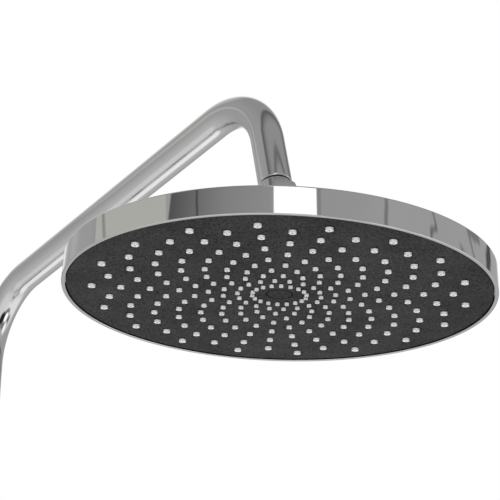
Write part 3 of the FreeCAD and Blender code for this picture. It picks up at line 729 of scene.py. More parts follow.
def turned(name: str, profile: Profile, sides: int = 96, steps: int = 4) -> Piece:
    """Turns a closed profile about Z.

    Args:
        name: name of the piece.
        profile: corners in millimetres; a first or last radius of 0 is a pole.
        sides: faces round.
        steps: points along each rounding.

    Returns:
        The closed piece.
    """
    points = rounded(profile, steps)
    start_pole, end_pole = points[0][0] <= 0.0, points[-1][0] <= 0.0
    if start_pole:
        points[0] = (POLE_RADIUS, points[0][1])
    if end_pole:
        points[-1] = (POLE_RADIUS, points[-1][1])
    rod = Rod(name, points[0][0], sides, Vector((0.0, 0.0, points[0][1])))
    if start_pole:
        bpy.ops.mesh.edge_face_add()
        bpy.ops.mesh.select_mode(type="EDGE")
        bpy.ops.mesh.select_all(action="SELECT")
    rod.trace(points)
    if end_pole:
        rod.pole()
    elif not start_pole:
        rod.trace([points[-1], points[0]])
    return rod.lift()


def holes(name: str, spots: Sequence[Triple], low: float, high: float, sides: int = 24) -> Piece:
    """Many round drills as one object.

    Args:
        name: name of the working piece.
        spots: x, y and radius in millimetres.
        low: lower end.
        high: upper end.
        sides: faces round.

    Returns:
        The drills, to cut with.
    """
    drills = []
    for x, y, radius in spots:
        deselect()
        bpy.ops.mesh.primitive_cylinder_add(
            vertices=sides, radius=radius * MM, depth=(high - low) * MM,
            location=Vector((x, y, (low + high) / 2.0)) * MM)
        drills.append(bpy.context.object)
    drill = join(drills, name)
    settle(drill)
    return drill


def around(count: int, at: float, radius: float, turn_deg: float = 0.0) -> List[Triple]:
    """Equal spots round Z.

    Args:
        count: how many.
        at: distance from the axis.
        radius: radius of each.
        turn_deg: angle of the first.

    Returns:
        x, y and radius of each.
    """
    spots = []
    for index in range(count):
        angle = math.radians(turn_deg + index * 360.0 / count)
        spots.append((at * math.cos(angle), at * math.sin(angle), radius))
    return spots


def flute(nut: Piece, count: int, at: float, radius: float, low: float, high: float) -> None:
    """Mills grip flutes round a nut, breaks its edges and shades it.

    Args:
        nut: nut about Z.
        count: how many flutes.
        at: distance of their axes from the nut's axis.
        radius: radius of each.
        low: lower end.
        high: upper end.
    """
    combine(nut, holes("flute_drill", around(count, at, radius), low, high))
    break_edges(nut, width_mm=0.25, angle_deg=40.0)
    smooth(nut)


# ---------------------------------------------------------------------------
# gooseneck
# ---------------------------------------------------------------------------


@dataclass
class Gooseneck:
    """Bent tube from the riser to the head, with the stud screwed into its end."""

    offset: float = 60.0
    radius: float = 10.0
    wall: float = 1.2
    bend: float = 50.0
    leg_bottom: float = -60.0
    leg_top: float = 290.0
    arm: float = 220.0
    rise: float = 2.2
    neck: float = 35.3
    lean: float = 11.5
    to_ball: float = 27.0
    ball: float = 11.0
    ball_bore: float = 3.5
    stem: float = 5.5
    stem_to: float = 16.0
    shoulder: float = 11.9
    shoulder_to: float = 24.4
    flats: float = 18.9
    flat_turn: float = -7.5
    collar: float = 9.4
    collar_to: float = 26.0
    thread: float = 7.4
    thread_long: float = 11.0
    washer_radius: float = 9.25
    clear: float = 0.03
    cutter: float = 20.0
    sides: int = 72
    bend_steps: int = 44
    arc_steps: int = 24
    leg_round: float = 0.4
    end_round: float = 0.9
    end_steps: int = 5

    @property
    def turns(self) -> Pair:
        """Angles of the two bends, in radians."""
        first = math.radians(90.0 - self.rise)
        return first, math.pi - math.radians(self.lean) - first

    @property
    def neck_up(self) -> Vector:
        """Direction up the neck."""
        lean = math.radians(self.lean)
        return Vector((0.0, math.sin(lean), math.cos(lean)))

    @property
    def neck_end(self) -> Vector:
        """Middle of the tube's open end."""
        rise = math.radians(self.rise)
        first, second = self.turns
        ahead = Vector((0.0, -math.cos(rise), math.sin(rise)))
        down = Vector((0.0, -math.sin(rise), -math.cos(rise)))
        centre = Vector((0.0, -self.offset - self.bend, self.leg_top))
        shoulder = centre + Vector((0.0, math.cos(first), math.sin(first))) * self.bend
        centre = shoulder + ahead * self.arm + down * self.bend
        end = (centre - down * (self.bend * math.cos(second))
               + ahead * (self.bend * math.sin(second)))
        return end - self.neck_up * self.neck

    @property
    def ball_centre(self) -> Vector:
        """Centre of the ball joint."""
        return self.neck_end - self.neck_up * self.to_ball

    def bent_tube(self) -> Piece:
        """Draws the tube's outside, turns in at the end and comes back as the bore.

        Returns:
            The tube.
        """
        across = Vector((1.0, 0.0, 0.0))
        first, second = self.turns
        rod = Rod("bent_tube", self.radius - self.leg_round, self.sides,
                  Vector((0.0, -self.offset, self.leg_bottom)))
        rod.forward(0.3 * self.leg_round, self.radius - 0.3 * self.leg_round)
        rod.forward(0.7 * self.leg_round, self.radius)
        rod.forward(self.leg_top - self.leg_bottom - self.leg_round)
        centre = rod.centre + Vector((0.0, -self.bend, 0.0))
        rod.bend(centre, across, first, self.bend_steps)
        rod.forward(self.arm)
        rise = math.radians(self.rise)
        centre = rod.centre + Vector((0.0, -math.sin(rise), -math.cos(rise))) * self.bend
        rod.bend(centre, across, second, self.bend_steps)
        rod.forward(self.neck - self.end_round)
        for step in range(self.end_steps):
            before = math.radians(90.0 * step / self.end_steps)
            angle = math.radians(90.0 * (step + 1) / self.end_steps)
            rod.forward(self.end_round * (math.sin(angle) - math.sin(before)),
                        self.radius - self.end_round * (1.0 - math.cos(angle)))
        rod.forward(0.0, self.radius - self.wall)
        rod.forward(-self.neck)
        rod.bend(centre, across, -second, self.bend_steps)
        rod.forward(-self.arm)
        centre = Vector((0.0, -self.offset - self.bend, self.leg_top))
        rod.bend(centre, across, -first, self.bend_steps)
        rod.forward(self.leg_bottom - self.leg_top)
        rod.forward(0.0, self.radius - self.leg_round)
        return rod.lift()

    def stud(self) -> Piece:
        """Turns the stud and mills its two flats.

        Returns:
            The stud, in the tube's end.
        """
        polar = math.asin(self.stem / self.ball)
        foot = math.pi - math.asin(self.ball_bore / self.ball)
        arc = []
        for step in range(self.arc_steps + 1):
            angle = foot + (polar - foot) * step / self.arc_steps
            arc.append((self.ball * math.sin(angle), self.ball * math.cos(angle)))
        top = self.collar_to + self.thread_long
        profile = arc + [
            (self.stem, self.stem_to - 1.5), (self.stem + 1.5, self.stem_to, 0.3),
            (self.shoulder, self.stem_to, 0.6), (self.shoulder, self.shoulder_to, 1.3),
            (self.collar, self.shoulder_to), (self.collar, self.collar_to, 0.25),
            (self.thread, self.collar_to), (self.thread, top, 0.6), (self.ball_bore, top)]
        stud = turned("ball_stud_turned", profile)
        size, tall = self.cutter, self.shoulder_to - self.stem_to
        cheeks = []
        for side in (-1.0, 1.0):
            deselect()
            bpy.ops.mesh.primitive_cube_add(size=size * MM, location=(
                0.0, side * (size + self.flats) / 2.0 * MM,
                (self.stem_to + self.shoulder_to) / 2.0 * MM))
            block = bpy.context.object
            block.scale = (2.0, 1.0, (tall + 0.04) / size)
            settle(block)
            cheeks.append(block)
        cutter = join(cheeks, "flat_cutter")
        cutter.rotation_euler = (0.0, 0.0, math.radians(self.flat_turn))
        settle(cutter)
        combine(stud, cutter)
        break_edges(stud, width_mm=0.22, angle_deg=50.0)
        smooth(stud)
        return place(stud, self.neck_up, self.ball_centre)

    def washer(self) -> Piece:
        """Black washer under the tube's end.

        Returns:
            The washer.
        """
        bore = self.thread + 0.1
        low, high = self.collar_to + self.clear, self.to_ball - self.clear
        ring = turned("end_washer", [
            (bore, low), (self.washer_radius, low, 0.3), (self.washer_radius, high, 0.3),
            (bore, high)], self.sides)
        return place(ring, self.neck_up, self.ball_centre)

    def build(self) -> None:
        """Builds and dresses the gooseneck."""
        dress(self.bent_tube(), Body.GOOSENECK, Slot.CHROME, "gooseneck_tube")
        dress(self.stud(), Body.GOOSENECK, Slot.CHROME, "ball_stud")
        dress(self.washer(), Body.GOOSENECK, Slot.RUBBER, "neck_washer")


# ---------------------------------------------------------------------------
# head
# ---------------------------------------------------------------------------


@dataclass
class Head:
    """Flat round overhead shower; heights are above its spray face."""

    ball_centre: Vector
    tilt_out: float = 8.62
    tilt_side: float = 3.97
    ball_height: float = 44.0
    radius: float = 121.0
    draft: float = 0.7
    wall: float = 2.15
    lip_deep: float = 0.6
    rim: float = 15.1
    rim_round: float = 1.0
    lip: float = 0.4
    crown: float = 30.0
    crown_height: float = 20.5
    boss: float = 17.2
    boss_height: float = 28.7
    boss_thread: float = 14.2
    boss_top: float = 38.7
    bore: float = 12.1
    shelf_top: float = 30.98
    shelf_low: float = 24.5
    socket: float = 9.75
    socket_wall: float = 2.75
    socket_low: float = 12.5
    ledge: float = 1.8
    ledge_low: float = 2.52
    ledge_high: float = 4.3
    pocket_top: float = 6.2
    inlet: float = 2.55
    face_gap: float = 0.3
    face_thick: float = 2.5
    face_edge: float = 1.5
    face_front: float = 0.15
    rings: int = 12
    per_ring: int = 18
    outer_at: float = 104.17
    inner_at: float = 15.18
    nozzle_turn: float = 5.83
    nozzle_outer: float = 2.3
    nozzle_inner: float = 1.35
    nozzle_tip: float = 0.93
    nozzle_out: float = 1.1
    nozzle_bore: float = 0.6
    nozzle_gap: float = 0.42
    nozzle_sides: int = 14
    mat_thick: float = 1.5
    mat: float = 110.35
    mat_bore: float = 6.6
    seat_gap: float = 0.02
    cap: float = 7.0
    cap_thick: float = 1.3
    cap_groove: float = 0.55
    nut: float = 16.6
    nut_above: float = 8.6
    nut_below: float = 15.0
    nut_flutes: int = 12
    nut_mouth: float = 56.0
    nut_seat: float = 12.06
    nut_bore: float = 12.14
    nut_arc_steps: int = 8
    sides: int = 320
    round_steps: int = 6

    @property
    def up(self) -> Vector:
        """Direction of the head's axis."""
        return Vector((-math.tan(math.radians(self.tilt_side)),
                       -math.tan(math.radians(self.tilt_out)), 1.0)).normalized()

    @property
    def origin(self) -> Vector:
        """Middle of the spray face."""
        return self.ball_centre - self.up * self.ball_height

    def seat(self, piece: Piece) -> Piece:
        """Moves a piece from the head's own frame to its place."""
        return place(piece, self.up, self.origin)

    def cover(self) -> Piece:
        """Chromed shell with its rim, crown and boss.

        Returns:
            The cover.
        """
        pocket = self.radius - self.wall
        top = self.radius - self.draft
        slope = (self.crown_height - self.rim) / (top - self.rim_round - self.crown)
        inside = self.crown_height - self.wall
        inside_rim = inside - slope * (pocket - self.crown)
        out = self.socket + self.socket_wall
        ledge = pocket - self.ledge
        profile = [
            (pocket, 1.2), (pocket, -self.lip_deep, 0.35), (self.radius, -self.lip_deep, self.lip),
            (top, self.rim, self.rim_round), (self.crown, self.crown_height, 6.0),
            (self.boss + 4.0, self.crown_height + 1.2, 3.0),
            (self.boss, self.crown_height + 4.5, 2.0), (self.boss, self.boss_height, 0.5),
            (self.boss_thread, self.boss_height), (self.boss_thread, self.boss_top, 0.4),
            (self.bore, self.boss_top, 0.3), (self.bore, self.shelf_top),
            (self.inlet, self.shelf_top), (self.inlet, self.shelf_low),
            (self.socket, self.shelf_low), (self.socket, self.socket_low), (out, self.socket_low),
            (out, inside), (self.crown, inside), (pocket, inside_rim), (pocket, self.pocket_top),
            (ledge, self.ledge_high), (ledge, self.ledge_low), (pocket, self.ledge_low)]
        return self.seat(turned("cover_shell", profile, self.sides, self.round_steps))

    def nozzles_at(self) -> List[Triple]:
        """Every nozzle's place.

        Returns:
            x, y and root radius in millimetres.
        """
        spots = []
        pitch = (self.outer_at - self.inner_at) / (self.rings - 1)
        for row in range(self.rings):
            share = row / (self.rings - 1)
            root = self.nozzle_outer + (self.nozzle_inner - self.nozzle_outer) * share
            turn = self.nozzle_turn + 180.0 / self.per_ring * (row % 2)
            spots.extend(around(self.per_ring, self.outer_at - row * pitch, root, turn))
        return spots

    def plate(self) -> Piece:
        """Charcoal face with a softly rounded edge and its holes.

        Returns:
            The face.
        """
        edge = self.radius - self.wall - self.face_gap
        pocket = self.cap + self.cap_groove
        floor = self.cap_thick + self.seat_gap
        disc = turned("spray_plate", [
            (0.0, floor), (pocket, floor), (pocket, self.face_front, 0.25),
            (edge, self.face_front, self.face_edge), (edge, self.face_thick),
            (0.0, self.face_thick)], self.sides, self.round_steps)
        spots = [(x, y, root + self.nozzle_gap) for x, y, root in self.nozzles_at()]
        combine(disc, holes("nozzle_drill", spots, -1.0, self.face_thick + 1.0))
        smooth(disc)
        return self.seat(disc)

    def nozzle(self, root: float) -> Piece:
        """One hollow silicone nozzle about the origin.

        Args:
            root: radius where it leaves the face.

        Returns:
            The nozzle.
        """
        tip = root * self.nozzle_tip
        low = -self.nozzle_out
        profile = [
            (self.nozzle_bore, low + 0.9), (self.nozzle_bore, low + 0.15),
            (self.nozzle_bore + 0.15, low), (tip - 0.3, low), (tip - 0.08, low + 0.08),
            (tip, low + 0.32), (root, 2.2), (root + 0.25, self.face_thick + 0.1)]
        rod = Rod("nozzle", profile[0][0], self.nozzle_sides, Vector((0.0, 0.0, profile[0][1])))
        rod.trace(profile)
        return rod.lift()

    def nozzle_field(self) -> Piece:
        """All nozzles on their mat.

        Returns:
            The silicone mat.
        """
        parts = []
        models = {}
        for x, y, root in self.nozzles_at():
            key = round(root, 4)
            if key in models:
                part = models[key].copy()
                part.data = part.data.copy()
                bpy.context.scene.collection.objects.link(part)
            else:
                part = models[key] = self.nozzle(root)
            part.location = (x * MM, y * MM, 0.0)
            parts.append(part)
        low = self.face_thick + self.seat_gap
        high = low + self.mat_thick
        sheet = turned("mat_sheet", [(self.mat_bore, low), (self.mat, low, 0.3),
                                     (self.mat, high, 0.3), (self.mat_bore, high)], 128)
        field = join([sheet] + parts, "nozzle_field")
        settle(field)
        return self.seat(field)

    def centre_cap(self) -> Piece:
        """Small cap that hides the centre screw.

        Returns:
            The cap.
        """
        return self.seat(turned("middle_cap", [
            (0.0, self.face_front), (self.cap, self.face_front, 0.3), (self.cap, self.cap_thick),
            (0.0, self.cap_thick)]))

    def ball_nut(self) -> Piece:
        """Fluted cap nut over the ball.

        Returns:
            The nut.
        """
        mouth = math.radians(self.nut_mouth)
        arc = []
        for step in range(self.nut_arc_steps + 1):
            angle = mouth + (math.pi / 2.0 - mouth) * step / self.nut_arc_steps
            arc.append((self.nut_seat * math.sin(angle), self.nut_seat * math.cos(angle)))
        thread = self.boss_thread + 0.05
        step_at = self.boss_top - self.ball_height + 0.2
        profile = [
            (thread, -self.nut_below), (self.nut, -self.nut_below, 0.5),
            (self.nut, self.nut_above, 3.0), (arc[0][0] + 1.2, self.nut_above, 0.3)] + arc + [
            (self.nut_bore, 0.0), (self.nut_bore, step_at), (thread, step_at)]
        nut = turned("ball_joint_nut", profile, 120, self.round_steps)
        flute(nut, self.nut_flutes, self.nut + 0.8, 1.5, 2.0 - self.nut_below, 20.0)
        return self.seat(place(nut, UP, UP * self.ball_height))

    def build(self) -> None:
        """Builds and dresses the head."""
        dress(self.cover(), Body.HEAD, Slot.CHROME, "head_cover")
        dress(self.plate(), Body.HEAD, Slot.CHARCOAL, "spray_face")
        dress(self.nozzle_field(), Body.HEAD, Slot.SILICONE, "nozzle_mat")
        dress(self.centre_cap(), Body.HEAD, Slot.CHARCOAL, "centre_cap")
        dress(self.ball_nut(), Body.HEAD, Slot.CHROME, "ball_nut")


# ---------------------------------------------------------------------------
# lower riser, clamp, bracket and union
# ---------------------------------------------------------------------------


@dataclass
class LowerRiser:
    """Outer tube with its collar, clamp nut and union; heights in the column's frame."""

    offset: float = 60.0
    radius: float = 12.5
    bore: float = 11.3
    top: float = 120.0
    bottom: float = -700.0
    collar_thread: float = 14.0
    collar_rim: float = 16.0
    collar_low: float = 104.0
    collar_top: float = 125.02
    collar_bore: float = 12.0
    collar_foot: float = 3.0
    nut: float = 17.5
    nut_low: float = 107.4
    nut_top: float = 133.02
    nut_flutes: int = 12
    nut_thread: float = 14.06
    nut_mouth: float = 10.3
    nut_lip: float = 2.9
    cone_small: float = 10.88
    cone_large: float = 12.08
    cone_foot: float = 7.0
    union_across: float = 27.0
    union_low: float = -728.72
    union_top: float = -712.9
    union_thread: float = 10.48
    union_mouth: float = 8.56
    union_edge: float = 1.3
    seat_gap: float = 0.02

    def stand(self, piece: Piece) -> Piece:
        """Moves a piece from the origin to the riser's axis."""
        return place(piece, UP, OUT * self.offset)

    def tube(self) -> Piece:
        """Outer tube with broken edges.

        Returns:
            The tube.
        """
        return self.stand(turned("outer_tube", [
            (self.bore, self.bottom), (self.radius, self.bottom, 0.25),
            (self.radius, self.top, 0.25), (self.bore, self.top)], 72))

    def collar(self) -> Piece:
        """Collar under the clamp nut.

        Returns:
            The collar.
        """
        step = self.collar_low + self.collar_foot
        bore, seat, ledge = self.radius + self.seat_gap, self.top + self.seat_gap, self.top + 1.0
        return self.stand(turned("clamp_collar", [
            (bore, self.collar_low), (self.collar_rim, self.collar_low, 0.5),
            (self.collar_rim, step, 0.3), (self.collar_thread, step),
            (self.collar_thread, self.collar_top, 0.3), (self.collar_bore, self.collar_top),
            (self.collar_bore, ledge), (self.bore, ledge), (self.bore, seat), (bore, seat)]))

    def clamp_nut(self) -> Piece:
        """Fluted nut that grips the leg.

        Returns:
            The nut.
        """
        high = self.nut_top
        lip, foot, step = high - self.nut_lip, high - self.cone_foot, self.collar_top + 0.1
        nut = turned("grip_nut", [
            (self.nut_thread, self.nut_low), (self.nut, self.nut_low, 0.6), (self.nut, high, 2.6),
            (self.nut_mouth, high, 0.4), (self.nut_mouth, lip), (self.cone_small, lip),
            (self.cone_large, foot), (self.cone_large, step), (self.nut_thread, step)], 120, 6)
        flute(nut, self.nut_flutes, self.nut + 0.9, 1.6, self.nut_low + 3.0, high - 3.0)
        return self.stand(nut)

    def union_nut(self) -> Piece:
        """Hexagonal nut with chamfered corners.

        Returns:
            The nut.
        """
        corner = self.union_across / math.sqrt(3.0)
        half = self.union_across / 2.0
        low, high = self.union_low, self.union_top
        deselect()
        bpy.ops.mesh.primitive_cylinder_add(
            vertices=6, radius=corner * MM, depth=(high - low) * MM,
            location=(0.0, 0.0, (high + low) / 2.0 * MM), rotation=(0.0, 0.0, math.radians(30.0)))
        nut = bpy.context.object
        nut.name = "union_hexagon"
        settle(nut)
        wide, edge = corner + 0.1, self.union_edge
        cone = turned("corner_cone", [
            (0.0, low), (half, low), (wide, low + edge), (wide, high - edge), (half, high),
            (0.0, high)])
        combine(nut, cone, "INTERSECT")
        groove, mouth = self.union_thread + 0.5, self.union_mouth
        inside = turned("union_bore", [
            (0.0, low - 1.0), (self.union_thread, low - 1.0), (self.union_thread, low + 8.0),
            (groove, low + 8.0), (groove, high - 3.0), (mouth, high - 3.0), (mouth, high + 1.0),
            (0.0, high + 1.0)], 72)
        combine(nut, inside)
        break_edges(nut, width_mm=0.3, angle_deg=25.0)
        smooth(nut)
        return self.stand(nut)

    def build(self) -> None:
        """Builds and dresses the lower riser."""
        dress(self.tube(), Body.RISER, Slot.CHROME, "lower_riser")
        dress(self.collar(), Body.RISER, Slot.CHROME, "riser_collar")
        dress(self.clamp_nut(), Body.CLAMP_NUT, Slot.CHROME, "clamp_nut")
        dress(self.union_nut(), Body.UNION_NUT, Slot.CHROME, "union_nut")


@dataclass
class WallBracket:
    """Rosette and clamp that hold the riser off the wall."""

    offset: float = 60.0
    rosette: float = 29.0
    rosette_thick: float = 1.2
    rosette_deep: float = 11.0
    post: float = 9.0
    stud: float = 4.0
    clamp: float = 17.0
    clamp_high: float = 26.0
    boss_long: float = 19.0
    riser: float = 12.52
    grub: float = 2.52

    def cup(self) -> Piece:
        """Rosette over the wall plate.

        Returns:
            The rosette.
        """
        inner, hole = self.rosette - self.rosette_thick, self.post + 0.1
        deep, back = self.rosette_deep, self.rosette_deep - self.rosette_thick
        return place(turned("wall_cup", [
            (inner, 0.3), (self.rosette, 0.3, 0.3), (self.rosette, deep, 3.0), (hole, deep, 0.3),
            (hole, back), (inner, back, 2.0)], 128, 8), OUT)

    def holder(self) -> Piece:
        """Ring round the riser with its boss.

        Returns:
            The clamp.
        """
        half = self.clamp_high / 2.0
        ring = turned("riser_holder", [
            (0.0, -half), (self.clamp, -half, 1.0), (self.clamp, half, 1.0), (0.0, half)], 128)
        end = self.boss_long - 0.02
        boss = turned("holder_boss", [
            (0.0, 0.0), (self.post, 0.0), (self.post, end, 0.3), (0.0, end)])
        combine(ring, place(boss, -OUT), "UNION")
        bore = holes("riser_drill", [(0.0, 0.0, self.riser)], -half - 2.0, half + 2.0, sides=96)
        combine(ring, bore)
        tap = holes("tap_drill", [(0.0, 0.0, self.stud + 0.06)], 0.0, self.boss_long + 2.0,
                    sides=48)
        combine(ring, place(tap, -OUT))
        grub = holes("grub_drill", [(0.0, 0.0, self.grub)], 0.0, self.clamp + 2.0, sides=48)
        combine(ring, place(grub, OUT))
        break_edges(ring, width_mm=0.35, angle_deg=40.0, segments=3)
        smooth(ring)
        return place(ring, UP, OUT * self.offset)

    def build(self) -> None:
        """Builds and dresses the bracket."""
        dress(self.cup(), Body.RISER, Slot.CHROME, "wall_rosette")
        dress(self.holder(), Body.RISER, Slot.CHROME, "bracket_clamp")


# ---------------------------------------------------------------------------
# carried-over pieces
# ---------------------------------------------------------------------------


def paint_carried_over() -> None:
    """Gives every CAD node that still shows its own finish."""
    slots = {entry["node"]: entry["material_slot"] for entry in frame["record"]["subparts"]}
    for name, node in frame["nodes"].items():
        slot = Slot(slots[name])
        node.data.materials.clear()
        node.data.materials.append(PAINTBOX.of(slot))
        if not node.hide_render:
            LOG.info("%s keeps its solid in %s", name, slot.value)


# ---------------------------------------------------------------------------
# studio
# ---------------------------------------------------------------------------


def shine(value: float, warm: float = 0.0) -> Colour:
    """Light that shows as a screen grey once the chrome has reflected it.

    Args:
        value: tone from 0 to 255.
        warm: how many tones the blue lies below the red.

    Returns:
        Red, green, blue and alpha.
    """
    red, green, blue, _ = grey(value, warm)
    return (red / REFLECTANCE, green / REFLECTANCE, blue / REFLECTANCE, 1.0)


@dataclass(frozen=True)
class Glow:
    """Soft round patch on the studio's dome; angles in degrees."""

    azimuth: float
    height: float
    radius: float
    soft: float
    tone: float
    strength: float = 1.0

    @property
    def aim(self) -> Triple:
        """Unit vector to its middle."""
        azimuth, height = math.radians(self.azimuth), math.radians(self.height)
        return (math.cos(height) * math.sin(azimuth), math.cos(height) * math.cos(azimuth),
                math.sin(height))

    def mask(self, board: Nodes, unit: Socket) -> Socket:
        """Where the patch shows.

        Args:
            board: node board.
            unit: direction from the dome's middle.

        Returns:
            Its strength inside, 0 outside.
        """
        near = board.dot(unit, self.aim)
        inner = math.cos(math.radians(self.radius))
        outer = math.cos(math.radians(self.radius + self.soft))
        return board.range(near, outer, inner, 0.0, self.strength, True)


@dataclass(frozen=True)
class Card:
    """Upright card or line on the dome; angles in degrees."""

    azimuth: Pair
    height: Pair
    tone: float
    soft: float = 0.6
    warm: float = 0.0
    lean: float = 0.0
    level: float = 25.0
    wobble: float = 0.0

    def mask(self, board: Nodes, azimuth: Socket, height: Socket, wave: Socket) -> Socket:
        """Where the card shows.

        Args:
            board: node board.
            azimuth: direction round.
            height: direction up.
            wave: noise from 0 to 1 that unsettles a wobbling line.

        Returns:
            1 on the card, 0 off it.
        """
        rise = board.math("SUBTRACT", height, self.level)
        straight = board.math("SUBTRACT", azimuth, board.math("MULTIPLY", rise, self.lean))
        if self.wobble:
            sway = board.math("MULTIPLY", board.math("SUBTRACT", wave, 0.5), 2.0 * self.wobble)
            straight = board.math("ADD", straight, sway)
        across = board.between(straight, self.azimuth, self.soft)
        return board.math("MULTIPLY", across, board.between(height, self.height, 4.0 * self.soft))


# screen greys of the dome by height, and of its dark loop above and below, by depth
PLAIN_TONES = ((0.00, 226), (0.10, 212), (0.20, 186), (0.28, 178), (0.36, 172), (0.44, 164),
               (0.50, 157), (0.58, 149), (0.66, 149), (0.74, 146), (0.83, 141), (0.92, 137),
               (1.00, 136))
HIGH_TONES = ((0.00, 142), (0.04, 128), (0.09, 90), (0.13, 94), (0.20, 113), (0.26, 126),
              (0.36, 136), (1.00, 142))
LOW_TONES = ((0.00, 150), (0.075, 150), (0.085, 79), (0.28, 103), (0.52, 126), (0.83, 138),
             (1.00, 145))


